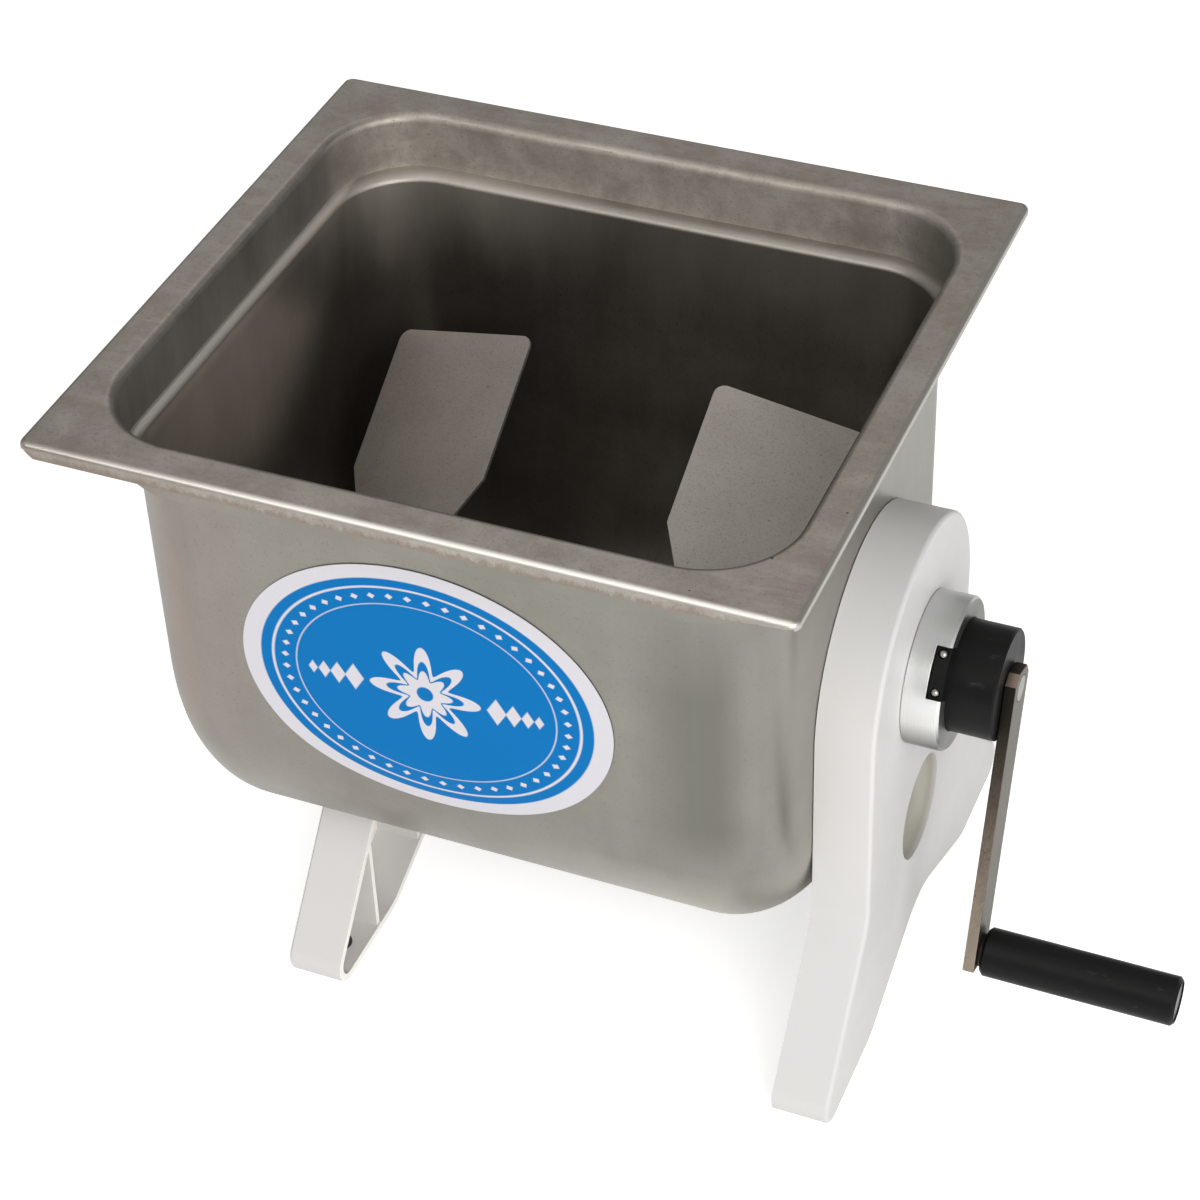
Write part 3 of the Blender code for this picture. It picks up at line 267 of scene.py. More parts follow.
# Places that follow from the sizes above
TROUGH_RADIUS = BODY_WIDTH / 2
HUB_Z = FLOOR_CLEARANCE + TROUGH_RADIUS
RIM_HEIGHT = HUB_Z + HUB_DROP
WALL_OUT = BODY_LENGTH / 2
WALL_IN = WALL_OUT - SHEET
LEG_X = LEG_SETBACK - WALL_OUT
PAD_PLACES = (("front", FOOT_Y - TOE_REACH + PAD_SETBACK), ("rear", FOOT_Y + TOE_REACH - PAD_SETBACK))
PIN_PLACES = (("front", -PIN_Y), ("rear", PIN_Y))
RIB_PLACES = (-RIB_OUTER_Y, -RIB_INNER_Y, RIB_INNER_Y, RIB_OUTER_Y)
STAND_TOP = HUB_Z + STAND_RADIUS
RECESS_HEIGHT = HUB_Z - RECESS_DROP
PIN_HEIGHT = HUB_Z - PIN_DROP
LABEL_HEIGHT = RIM_HEIGHT - LABEL_DROP
STAND_OPEN_X = WALL_OUT + SEAT_GAP
STAND_X = STAND_OPEN_X + LEG_DEPTH
PAD_X = {"left": LEG_X + LEG_DEPTH / 2, "right": (STAND_X + STAND_OPEN_X) / 2}
FLANGE_X = STAND_X + SEAT_GAP
RING_FACE_X = FLANGE_X + FLANGE_LENGTH
NOTCH_X = RING_FACE_X - NOTCH_DEPTH
NOSE_X = WALL_IN - NOSE_LENGTH
SEAL_X = NOSE_X + SEAL_STEP
PLUG_FACE_X = RING_FACE_X + PLUG_PROUD
PLUG_STEP_X = RING_FACE_X - PLUG_LIP_DEPTH
PLUG_NOSE_X = PLUG_STEP_X - PLUG_NOSE_LENGTH
ARM_IN_X = PLUG_FACE_X + SEAT_GAP
ARM_OUT_X = ARM_IN_X + ARM_THICKNESS
ROTOR_RIGHT_X = NOSE_X - ROTOR_END_GAP
TONGUE_X = ROTOR_RIGHT_X + ROTOR_END_GAP / 2 - TONGUE_LENGTH
PIVOT_IN_X = -WALL_IN + SEAT_GAP + PIVOT_FLANGE_THICKNESS
ROTOR_LEFT_X = PIVOT_IN_X + ROTOR_FLOAT
GRIP_WASHER_X = ARM_OUT_X + SEAT_GAP
GRIP_X = GRIP_WASHER_X + GRIP_WASHER_THICKNESS + SEAT_GAP
GRIP_END_X = GRIP_X + GRIP_LENGTH
SADDLE_RADIUS = TROUGH_RADIUS + SEAT_GAP
SADDLE_Z = HUB_Z - math.sqrt(SADDLE_RADIUS**2 - SADDLE_HALF**2)
TANK_X = (RIM_LENGTH / 2 - GRIP_END_X) / 2  # puts the origin under the middle of the whole churn

# The camera, fitted to the four corners of the rim
CAMERA_PLACE = Vector((0.4032, -1.0286, 1.1197))
CAMERA_VIEW = Vector((-0.31087, 0.70227, -0.64045))
CAMERA_ROLL = math.radians(-2.4255)
CAMERA_LENS = 92.08
CAMERA_SENSOR = 36

# The studio: what each light looks like from the churn, and the floor and room round it
FLOOR_RADIUS = 9.0
FLOOR_LIFT = 0.24  # the floor's own glow
FLOOR_WHITE = 0.55  # what the camera sees of it, so that the floor shows white
STUDIO_LOW = (0.18, 0.18, 0.18)
STUDIO_HIGH = (0.42, 0.42, 0.42)
LIGHTS = (
    ("front_panel", (-0.31, -0.62, 0.72), 2.4, 1.2, 2.6, (1.0, 0.98, 0.95)),
    ("top_panel", (-0.20, -0.05, 0.97), 2.4, 1.2, 1.0, (1.0, 1.0, 1.0)),
    ("back_panel", (-0.31, 0.60, 0.72), 2.5, 1.3, 0.42, (1.0, 0.98, 0.95)),
    ("corner_panel", (0.62, -0.66, 0.47), 2.5, 1.8, 4.7, (1.0, 0.995, 0.985)),
    ("side_panel", (0.95, 0.10, 0.30), 2.6, 1.2, 0.6, (1.0, 1.0, 1.0)),
)

# The tank's material slots
RIM_SLOT = 0
INSIDE_SLOT = 2
BAND_SLOT = 4
TANK_LOOKS = ("rim_steel", "wall_steel", "inside_steel", "wall_steel", "band_steel", "wall_steel")
RIM_BANDS = 2 * FILLET_STEPS - 1  # rows of faces with the rim's look
UPPER_BANDS = 2 * FILLET_STEPS + 3  # rows with either look, down to the shoulder
STRAIGHT_SHARES = (-0.9855, -0.5, 0, 0.5, 0.71, 0.85)
# Nodes that take a darker look than their own material's: name, look
DARKER_NODE_LOOKS = {"grip_washer": "dull_steel", "grip_axle": "dull_aluminium"}

# Small dark marks on the rim: place along the tank, place across it, radius
RIM_SPOTS = ((0.1529, -0.1255, 0.0010), (0.1719, -0.0875, 0.0007), (0.1290, -0.1560, 0.0006))

# Painted reflections, soft upright strips on the tank's wall: place along the tank, half width, share,
# colour
WALL_REFLECTIONS = (
    (0.121, 0.030, 0.78, (0.198, 0.189, 0.172)),
    (0.130, 0.009, 0.45, (0.185, 0.174, 0.156)),
    (0.146, 0.008, 0.30, (0.44, 0.42, 0.41)),
    (-0.131, 0.014, 0.45, (0.40, 0.31, 0.27)),
    (-0.160, 0.012, 0.30, (0.22, 0.20, 0.18)),
)

# Steels without marks of their own: name, light, dark, roughness, blotch scale, speckle, bow
PLAIN_STEELS = (
    ("satin_steel", (0.45, 0.43, 0.40), (0.38, 0.36, 0.33), 0.34, 60, 0.3, 0.00005),
    ("dull_steel", (0.10, 0.075, 0.07), (0.05, 0.038, 0.035), 0.5, 300, 0.3, 0.00005),
    ("dull_aluminium", (0.30, 0.31, 0.32), (0.20, 0.205, 0.21), 0.45, 200, 0.5, 0.00005),
)

# The label's drawing, with lengths as shares of its half length
LABEL_BLUE = (0.0, 0.155, 0.44)
LABEL_WHITE = (0.62, 0.61, 0.65)
PRINT_EDGE = 0.004
DOT_COUNT = 48
DOT_RING = 0.765
PETALS = 8

# What each node is made of
STEEL = "satin_steel"
PADDLE_STEEL = "blasted_steel"
ALUMINIUM = "turned_aluminium"
ARM_STEEL = "arm_steel"
WHITE_PLASTIC = "white_plastic"
BLACK_PLASTIC = "black_plastic"
DARK_RUBBER = "dark_rubber"
SILICONE = "silicone"
BUSH_PLASTIC = "bush_plastic"


def new_collection(name):
    collection = bpy.data.collections.new(name)
    bpy.context.scene.collection.children.link(collection)
    return collection


def hang(name, data, parent, location=(0, 0, 0), tilt=0.0):
    """A shape or an empty frame in the workshop, placed in its parent's frame and tilted about X."""
    obj = bpy.data.objects.new(name, data)
    WORKSHOP.objects.link(obj)
    obj.parent = parent
    obj.location = location
    obj.rotation_euler = (tilt, 0, 0)
    return obj


def piece(name, mesh, kind, parent):
    """The shape that a node's finer copy is made from, in its parent's frame."""
    obj = hang(name + "_shape", mesh, parent)
    SHAPES.append((name, obj, kind))
    return obj


def combine(part, mesh, operation, frame=None):
    """Changes a shape by another, which lies in that one's frame if no frame is given."""
    modifier = part.modifiers.new(operation, "BOOLEAN")
    modifier.operation = operation
    modifier.object = hang("tool", mesh, frame or part.parent)
    return modifier.object


def join(part, mesh):
    return combine(part, mesh, "UNION")


def cut(part, mesh, frame=None):
    return combine(part, mesh, "DIFFERENCE", frame)


def soften(part, width):
    """Rounds the sharp edges that are left once all cuts are made."""
    modifier = part.modifiers.new("edges", "BEVEL")
    modifier.width = width
    modifier.segments = EDGE_SEGMENTS
    modifier.limit_method = "ANGLE"
    modifier.angle_limit = EDGE_ANGLE
    modifier.use_clamp_overlap = True


def plain_mesh(bm):
    mesh = bpy.data.meshes.new("shape")
    bm.to_mesh(mesh)
    bm.free()
    return mesh


def closed_mesh(bm):
    """The mesh of a closed shape, with its faces turned out."""
    bmesh.ops.recalc_face_normals(bm, faces=bm.faces)
    return plain_mesh(bm)


def weave(bm, first, second, slot=0, ring=True):
    """Faces between two rows of corners. In a ring, the last corner meets the first."""
    for index in range(0 if ring else 1, len(first)):
        face = bm.faces.new((first[index - 1], first[index], second[index], second[index - 1]))
        face.material_index = slot


def skin(rings, solid=True):
    """The mesh over a row of rings, with a face on both ends or bent round to meet itself."""
    bm = bmesh.new()
    loops = [[bm.verts.new(point) for point in ring] for ring in rings]
    for number in range(1 if solid else 0, len(loops)):
        weave(bm, loops[number - 1], loops[number])
    if solid:
        bm.faces.new(loops[0])
        bm.faces.new(loops[-1])
    return closed_mesh(bm)


def prism(points, low, high):
    """An outline in Y and Z, extruded along X from low to high."""
    return skin([[(x, *point) for point in points] for x in (low, high)])


def box(low, high, turn=0.0):
    """A box between two corners, turned about X."""
    sides = [(low[1], low[2]), (high[1], low[2]), (high[1], high[2]), (low[1], high[2])]
    mesh = prism(sides, low[0], high[0])
    mesh.transform(Matrix.Rotation(turn, 4, "X"))
    return mesh


def spun(profile, steps=LARGE_ROUND, axis="X", centre=(0, 0, 0), solid=True):
    """The mesh of a profile turned about a line along X or Z.

    The profile holds (place along the axis, radius). It runs down the outer side and, unless the
    shape is solid, up the bore.
    """
    rings = []
    for along, radius in profile:
        ring = []
        for step in range(steps):
            turn = 2 * math.pi * step / steps
            y, side = centre[1] + radius * math.cos(turn), radius * math.sin(turn)
            ring.append((along, y, centre[2] + side) if axis == "X" else (centre[0] - side, y, along))
        rings.append(ring)
    return skin(rings, solid)


def cylinder(radius, low, high, y=0.0, z=0.0, steps=LARGE_ROUND):
    """A cylinder along X from low to high, with its axis at y and z."""
    return spun([(high, radius), (low, radius)], steps, centre=(0, y, z))


def upright(radius, low, high, steps=SMALL_ROUND, x=0.0, y=0.0):
    """A cylinder along Z from low to high."""
    return spun([(high, radius), (low, radius)], steps, "Z", (x, y, 0))


def plain_ring(name, kind, parent, low, high, inner, outer, steps=LARGE_ROUND, axis="X"):
    """A piece that is a ring with four edges, such as a washer."""
    profile = [(high, outer), (low, outer), (low, inner), (high, inner)]
    return piece(name, spun(profile, steps, axis, solid=False), kind, parent)


def quarter(radius, steps=FILLET_STEPS):
    """A quarter of a circle between two edges, as the distances of its points from both."""
    turns = [math.pi / 2 * step / steps for step in range(steps + 1)]
    return [(radius * (1 - math.sin(t)), radius * (1 - math.cos(t))) for t in turns]


def fillet(before, corner, after, radius):
    """Points of the arc that rounds one corner of an outline."""
    into = [b - c for b, c in zip(before, corner)]
    out = [a - c for a, c in zip(after, corner)]
    into_length = math.hypot(*into)
    out_length = math.hypot(*out)
    into = [part / into_length for part in into]
    out = [part / out_length for part in out]
    half = math.acos(max(-1, min(1, into[0] * out[0] + into[1] * out[1]))) / 2
    reach = radius / math.tan(half)
    middle = [i + o for i, o in zip(into, out)]
    middle_length = math.hypot(*middle)
    centre = [c + m / middle_length * radius / math.sin(half) for c, m in zip(corner, middle)]
    start = [c + i * reach - m for c, i, m in zip(corner, into, centre)]
    sweep = math.pi - 2 * half
    if into[0] * out[1] - into[1] * out[0] > 0:
        sweep = -sweep
    steps = max(2, math.ceil(abs(sweep) / ARC_STEP))
    points = []
    for step in range(steps + 1):
        turn = sweep * step / steps
        points.append(
            (
                centre[0] + start[0] * math.cos(turn) - start[1] * math.sin(turn),
                centre[1] + start[0] * math.sin(turn) + start[1] * math.cos(turn),
            )
        )
    return points


def rounded(corners):
    """An outline from corners given as (across, up, radius). A radius of 0 keeps a corner sharp."""
    points = []
    for index, (across, up, radius) in enumerate(corners):
        before = corners[index - 1][:2]
        after = corners[(index + 1) % len(corners)][:2]
        arc = [(across, up)] if radius == 0 else fillet(before, (across, up), after, radius)
        points += [p for p in arc if not points or math.dist(p, points[-1]) > 0.00001]
    if math.dist(points[0], points[-1]) < 0.00001:
        points.pop()
    return points


def inset(points, distance):
    """The outline moved inwards. It runs anticlockwise seen from +X, with Y to the right."""
    moved = []
    count = len(points)
    for index, (across, up) in enumerate(points):
        before = points[index - 1]
        after = points[(index + 1) % count]
        first = math.atan2(up - before[1], across - before[0])
        second = math.atan2(after[1] - up, after[0] - across)
        turn = (second - first + math.pi) % (2 * math.pi) - math.pi
        normal = first + turn / 2 + math.pi / 2
        reach = distance / math.cos(turn / 2)
        moved.append((across + reach * math.cos(normal), up + reach * math.sin(normal)))
    return moved


def foot_corners():
    """The lower outline that both legs share, from the front toe to the rear toe."""
    return [
        (FOOT_Y - TOE_REACH, PAD_PROUD, TOE_RADIUS),
        (FOOT_Y - ARCH_HALF, PAD_PROUD, ARCH_FOOT_RADIUS),
        (FOOT_Y, PAD_PROUD + ARCH_PEAK, ARCH_RADIUS),
        (FOOT_Y + ARCH_HALF, PAD_PROUD, ARCH_FOOT_RADIUS),
        (FOOT_Y + TOE_REACH, PAD_PROUD, TOE_RADIUS),
    ]


def stand_outline():
    return rounded(
        [
            (STAND_RADIUS, STAND_TOP, STAND_RADIUS),
            (-STAND_RADIUS, STAND_TOP, STAND_RADIUS),
            (-STAND_RADIUS, KNEE_HEIGHT, KNEE_RADIUS),
            *foot_corners(),
            (STAND_RADIUS, KNEE_HEIGHT, KNEE_RADIUS),
        ]
    )


def leg_outline():
    """The left leg's outline. Its top is hollowed to carry the tank."""
    half = math.asin((SADDLE_HALF - 2 * SADDLE_CORNER) / SADDLE_RADIUS)
    turns = [half - 2 * half * step / SADDLE_STEPS for step in range(SADDLE_STEPS + 1)]
    return rounded(
        [
            *[(SADDLE_RADIUS * math.sin(t), HUB_Z - SADDLE_RADIUS * math.cos(t), 0) for t in turns],
            (-SADDLE_HALF, SADDLE_Z, SADDLE_CORNER),
            *foot_corners(),
            (SADDLE_HALF, SADDLE_Z, SADDLE_CORNER),
        ]
    )


def shell(name, points, web_x, open_x, edge):
    """A moulded shell: a web with a rounded edge and a wall all round it, open on one side."""
    inward = 1 if open_x > web_x else -1
    block = [[(open_x, *point) for point in points]]
    for along, depth in quarter(edge):
        block.append([(web_x + inward * along, *point) for point in inset(points, depth)])
    part = piece(name, skin(block), WHITE_PLASTIC, CHURN)
    ends = sorted((web_x + inward * LEG_WALL, open_x + inward * LEG_WALL))
    cut(part, prism(inset(points, LEG_WALL), *ends))
    return part


def add_ribs(part, points, web_x, open_x, places, levels=()):
    """Upright and level ribs inside a shell, each ending half way into the wall that it meets."""
    inward = 1 if open_x > web_x else -1
    low, high = sorted((web_x + inward * LEG_WALL / 2, open_x - inward * RIB_SETBACK))
    half = RIB / 2
    meshes = [box((low, y - half, 0), (high, y + half, STAND_TOP)) for y in places]
    for z in levels:
        meshes.append(box((low, -RIM_WIDTH / 2, z - half), (high, RIM_WIDTH / 2, z + half)))
    ribs = join(part, meshes[0])
    for mesh in meshes[1:]:
        join(ribs, mesh)
    # The bounds reach past both ends of the ribs, so that only the outline trims them.
    bounds = prism(inset(points, LEG_WALL / 2), low - LEG_WALL, high + LEG_WALL)
    combine(ribs, bounds, "INTERSECT")


def pad_seats(part, x):
    """The recess and the hole in the sole of a leg for each foot pad."""
    for _, y in PAD_PLACES:
        seat_top = PAD_PROUD + PAD_SEAT_DEPTH + SEAT_GAP
        hole_top = PAD_PROUD + 2 * LEG_WALL
        cut(part, upright(PAD_RADIUS + SEAT_GAP, 0, seat_top, x=x, y=y))
        cut(part, upright(PAD_STEM_RADIUS + SEAT_GAP, 0, hole_top, TINY_ROUND, x, y))


def make_stand():
    """The right stand: a shell behind the crank that carries the bearing housing."""
    outline = stand_outline()
    stand = shell("right_stand", outline, STAND_X, STAND_OPEN_X, STAND_EDGE)
    web_x = STAND_X - LEG_WALL / 2
    past_x = STAND_X + LEG_WALL
    rib_x = STAND_OPEN_X + RIB_SETBACK
    cup_x = STAND_X - RECESS_DEPTH
    join(stand, cylinder(SLEEVE_RADIUS + HUB_BOSS_WALL, rib_x, web_x, z=HUB_Z))
    cup = cylinder(RECESS_RADIUS + LEG_WALL, cup_x - LEG_WALL, web_x, RECESS_Y, RECESS_HEIGHT)
    join(stand, cup)
    add_ribs(stand, outline, STAND_X, STAND_OPEN_X, RIB_PLACES, RIB_LEVELS)
    bore = PIN_RADIUS + SEAT_GAP
    for _, y in PIN_PLACES:
        boss = cylinder(bore + PIN_BOSS_WALL, rib_x, web_x, y, PIN_HEIGHT, SMALL_ROUND)
        join(stand, boss)
    cut(stand, cylinder(SLEEVE_RADIUS + SEAT_GAP, WALL_OUT, past_x, z=HUB_Z))
    recess = [(past_x, RECESS_RADIUS)]
    for along, inward in quarter(RECESS_FILLET):
        recess.append((cup_x + along, RECESS_RADIUS - inward))
    cut(stand, spun(recess, centre=(0, RECESS_Y, RECESS_HEIGHT)))
    for _, y in PIN_PLACES:
        end = STAND_OPEN_X + PIN_LENGTH + SEAT_GAP
        cut(stand, cylinder(bore, WALL_OUT, end, y, PIN_HEIGHT, SMALL_ROUND))
    pad_seats(stand, PAD_X["right"])


def make_leg():
    """The left leg: a shell under the tank, with its open side towards the crank."""
    outline = leg_outline()
    open_x = LEG_X + LEG_DEPTH
    leg = shell("left_leg", outline, LEG_X, open_x, LEG_EDGE)
    add_ribs(leg, outline, LEG_X, open_x, (0, *RIB_PLACES))
    pad_seats(leg, PAD_X["left"])
    depth = SADDLE_RADIUS + LEG_WALL
    for side, y in (("front", -STUD_Y), ("rear", STUD_Y)):
        # The stud lies along the frame's own -Z, which points from the trough's axis to the leg.
        frame = hang("leg_fixing", None, LEG_FRAME, tilt=math.asin(y / TROUGH_RADIUS))
        cut(leg, upright(STUD_RADIUS + SEAT_GAP, -depth - LEG_WALL, -TROUGH_RADIUS), frame)
        make_leg_fixing(side, frame, -depth - 2 * SEAT_GAP)


def make_leg_fixing(side, frame, wall_z):
    """The stud welded to the tank, with its washer and nut inside the leg."""
    start = -SADDLE_RADIUS
    piece(f"leg_stud_{side}", upright(STUD_RADIUS, start - STUD_LENGTH, start), STEEL, frame)
    bore = STUD_RADIUS + SEAT_GAP
    low = wall_z - WASHER_THICKNESS
    name = f"leg_washer_{side}"
    plain_ring(name, STEEL, frame, low, wall_z, bore, WASHER_RADIUS, SMALL_ROUND, "Z")
    top = low - SEAT_GAP
    corner_radius = NUT_FLATS / 2 / math.cos(math.pi / 6)
    nut = upright(corner_radius, top - NUT_HEIGHT, top, steps=6)
    nut = piece(f"leg_nut_{side}", nut, STEEL, frame)
    cut(nut, upright(bore, top - 2 * NUT_HEIGHT, top + NUT_HEIGHT))


def make_pads():
    """Rubber pads under the soles, each with a stem and a head that holds it in the leg."""
    disc_top = PAD_PROUD + PAD_SEAT_DEPTH
    head = PAD_PROUD + LEG_WALL + SEAT_GAP
    profile = [
        (head + PAD_HEAD_HEIGHT, PAD_STEM_RADIUS),
        (head, PAD_HEAD_RADIUS),
        (head, PAD_STEM_RADIUS),
        (disc_top, PAD_STEM_RADIUS),
        (disc_top, PAD_RADIUS),
        (0, PAD_RADIUS),
    ]
    for side, x in PAD_X.items():
        for end, y in PAD_PLACES:
            pad = spun(profile, SMALL_ROUND, "Z", (x, y, 0))
            piece(f"foot_pad_{side}_{end}", pad, DARK_RUBBER, CHURN)


def make_pins():
    """Pins welded to the tank's right wall, which stop the stand from turning on the housing."""
    for end, y in PIN_PLACES:
        pin = cylinder(PIN_RADIUS, STAND_OPEN_X, WALL_OUT + PIN_LENGTH, y, PIN_HEIGHT, SMALL_ROUND)
        piece(f"locating_pin_{end}", pin, STEEL, CHURN)


def make_housing():
    """The turned bearing housing, clamped through the stand and the tank's wall."""
    seal_end = SEAL_X + SEAL_LENGTH + SEAT_GAP
    profile = [
        (RING_FACE_X, FLANGE_RADIUS - FLANGE_CHAMFER),
        (RING_FACE_X - FLANGE_CHAMFER, FLANGE_RADIUS),
        (FLANGE_X, FLANGE_RADIUS),
        (FLANGE_X, SLEEVE_RADIUS),
        (STAND_OPEN_X, SLEEVE_RADIUS),
        (STAND_OPEN_X, NOSE_RADIUS),
        (NOSE_X, NOSE_RADIUS),
        (NOSE_X, SHAFT_RADIUS + RUNNING_GAP),
        (SEAL_X, SHAFT_RADIUS + RUNNING_GAP),
        (SEAL_X, SEAL_RADIUS + SEAT_GAP),
        (seal_end, SEAL_RADIUS + SEAT_GAP),
        (seal_end, PLUG_STEP_RADIUS + SEAT_GAP),
        (PLUG_STEP_X - SEAT_GAP, PLUG_STEP_RADIUS + SEAT_GAP),
        (PLUG_STEP_X - SEAT_GAP, PLUG_RADIUS + SEAT_GAP),
        (RING_FACE_X, PLUG_RADIUS + SEAT_GAP),
    ]
    housing = piece("bearing_housing", spun(profile, solid=False), ALUMINIUM, HUB)
    half = NOTCH_WIDTH / 2
    low = (NOTCH_X, -2 * FLANGE_RADIUS, -half)
    high = (RING_FACE_X + NOTCH_DEPTH, -PLUG_STEP_RADIUS, half)
    cut(housing, box(low, high, -NOTCH_ANGLE))


def make_housing_fixings():
    """The gasket and the ring nut inside the tank, and the lip seal in the housing."""
    bore = NOSE_RADIUS + SEAT_GAP
    gasket_end = WALL_IN - SEAT_GAP
    gasket_x = gasket_end - GASKET_THICKNESS
    plain_ring("wall_gasket", SILICONE, HUB, gasket_x, gasket_end, bore, GASKET_RADIUS)
    nut_end = gasket_x - SEAT_GAP
    nut_x = nut_end - HOUSING_NUT_LENGTH
    nut = plain_ring("housing_nut", STEEL, HUB, nut_x, nut_end, bore, HOUSING_NUT_RADIUS)
    half = HOUSING_NUT_SLOT / 2
    low = (nut_x - HOUSING_NUT_LENGTH, (bore + HOUSING_NUT_RADIUS) / 2, -half)
    high = (nut_end + HOUSING_NUT_LENGTH, 2 * HOUSING_NUT_RADIUS, half)
    for turn in (math.pi / 2, 3 * math.pi / 2):
        cut(nut, box(low, high, turn))
    seal_end = SEAL_X + SEAL_LENGTH
    bore = SHAFT_RADIUS + RUNNING_GAP
    plain_ring("shaft_seal", DARK_RUBBER, HUB, SEAL_X + SEAT_GAP, seal_end, bore, SEAL_RADIUS)


def make_plug():
    """The black bearing plug, keyed into the housing's notch by its lug."""
    profile = [
        (PLUG_FACE_X, PLUG_RADIUS - PLUG_CHAMFER),
        (PLUG_FACE_X - PLUG_CHAMFER, PLUG_RADIUS),
        (PLUG_STEP_X, PLUG_RADIUS),
        (PLUG_STEP_X, PLUG_STEP_RADIUS),
        (PLUG_NOSE_X, PLUG_STEP_RADIUS),
    ]
    plug = piece("bearing_plug", spun(profile), BLACK_PLASTIC, HUB)
    lug = join(plug, cylinder(LUG_REACH, NOTCH_X + LUG_CLEARANCE, RING_FACE_X))
    half = NOTCH_WIDTH / 2 - LUG_CLEARANCE
    low = (NOTCH_X - NOTCH_DEPTH, -2 * LUG_REACH, -half)
    high = (RING_FACE_X + NOTCH_DEPTH, -SHAFT_RADIUS, half)
    combine(lug, box(low, high, -NOTCH_ANGLE), "INTERSECT")
    ends = (PLUG_NOSE_X - LEG_WALL, PLUG_FACE_X + LEG_WALL)
    cut(plug, cylinder(SHAFT_RADIUS + RUNNING_GAP, *ends, steps=SMALL_ROUND))
    make_detent(plug, "upper", 1)
    make_detent(plug, "lower", -1)


def make_detent(plug, label, side):
    """One ball of the detent, in its pocket in the lug."""
    centre = LUG_REACH + BALL_PROUD - BALL_RADIUS
    turn = NOTCH_ANGLE + side * math.asin(BALL_SPREAD / LUG_REACH)
    frame = hang("detent", None, HUB, (NOTCH_X + BALL_INSET, 0, 0), math.pi / 2 - turn)
    pocket_radius = BALL_RADIUS + SEAT_GAP
    cut(plug, upright(pocket_radius, centre - pocket_radius, 2 * centre), frame)
    bm = bmesh.new()
    bmesh.ops.create_uvsphere(
        bm, u_segments=BALL_STEPS, v_segments=BALL_STEPS // 2, radius=BALL_RADIUS
    )
    bmesh.ops.translate(bm, vec=(0, 0, centre), verts=bm.verts)
    piece(f"detent_ball_{label}", closed_mesh(bm), STEEL, frame)


def make_crank_shaft():
    """The shaft that turns in the plug: a spigot for the arm, and a square tongue inside the tank."""
    shoulder = ARM_IN_X - SEAT_GAP
    round_end = TONGUE_X + TONGUE_LENGTH
    profile = [
        (ARM_OUT_X, SPIGOT_RADIUS),
        (shoulder, SPIGOT_RADIUS),
        (shoulder, SHAFT_RADIUS),
        (round_end, SHAFT_RADIUS),
    ]
    shaft = piece("crank_shaft", spun(profile, MEDIUM_ROUND), STEEL, CRANK)
    half = TONGUE_FLATS / 2
    join(shaft, box((TONGUE_X, -half, -half), (round_end + TONGUE_FLATS, half, half)))


def make_arm():
    """The flat bar of the crank, hanging along -Z in the crank's own frame."""
    half = ARM_WIDTH / 2
    end = -CRANK_RADIUS - ARM_BOTTOM
    outline = [
        (half, ARM_TOP - ARM_CHAMFER),
        (half - ARM_CHAMFER, ARM_TOP),
        (-half + ARM_CHAMFER, ARM_TOP),
        (-half, ARM_TOP - ARM_CHAMFER),
        (-half, end),
        (half, end),
    ]
    arm = piece("crank_arm", prism(outline, ARM_IN_X, ARM_OUT_X), ARM_STEEL, CRANK)
    ends = (ARM_IN_X - ARM_THICKNESS, ARM_OUT_X + ARM_THICKNESS)
    cut(arm, cylinder(SPIGOT_RADIUS + SEAT_GAP, *ends, steps=MEDIUM_ROUND))
    cut(arm, cylinder(AXLE_RADIUS + SEAT_GAP, *ends, z=-CRANK_RADIUS, steps=SMALL_ROUND))


def make_grip():
    """The black sleeve that turns on its axle, with the washer behind it."""
    end = GRIP_WASHER_X + GRIP_WASHER_THICKNESS
    bore = AXLE_RADIUS + SEAT_GAP
    sizes = (GRIP_WASHER_X, end, bore, GRIP_WASHER_RADIUS, SMALL_ROUND)
    plain_ring("grip_washer", STEEL, GRIP, *sizes)
    head_x = GRIP_END_X - AXLE_HEAD_INSET
    seat_x = head_x - AXLE_HEAD_LENGTH - SEAT_GAP
    sleeve = [
        (GRIP_END_X, GRIP_RADIUS - GRIP_CHAMFER),
        (GRIP_END_X - GRIP_CHAMFER, GRIP_RADIUS),
        (GRIP_X + GRIP_CHAMFER, GRIP_RADIUS),
        (GRIP_X, GRIP_RADIUS - GRIP_CHAMFER),
        (GRIP_X, AXLE_RADIUS + RUNNING_GAP),
        (seat_x, AXLE_RADIUS + RUNNING_GAP),
        (seat_x, AXLE_HEAD_RADIUS + RUNNING_GAP),
        (GRIP_END_X, AXLE_HEAD_RADIUS + RUNNING_GAP),
    ]
    piece("grip_sleeve", spun(sleeve, MEDIUM_ROUND, solid=False), BLACK_PLASTIC, GRIP)
    axle = [
        (head_x, AXLE_HEAD_RADIUS),
        (head_x - AXLE_HEAD_LENGTH, AXLE_HEAD_RADIUS),
        (head_x - AXLE_HEAD_LENGTH, AXLE_RADIUS),
        (ARM_IN_X, AXLE_RADIUS),
    ]
    axle = piece("grip_axle", spun(axle, MEDIUM_ROUND), ALUMINIUM, GRIP)
    ends = (head_x - SPANNER_HOLE_DEPTH, head_x + SPANNER_HOLE_DEPTH)
    for z in (SPANNER_HOLE_SPREAD, -SPANNER_HOLE_SPREAD):
        cut(axle, cylinder(SPANNER_HOLE_RADIUS, *ends, z=z, steps=TINY_ROUND))


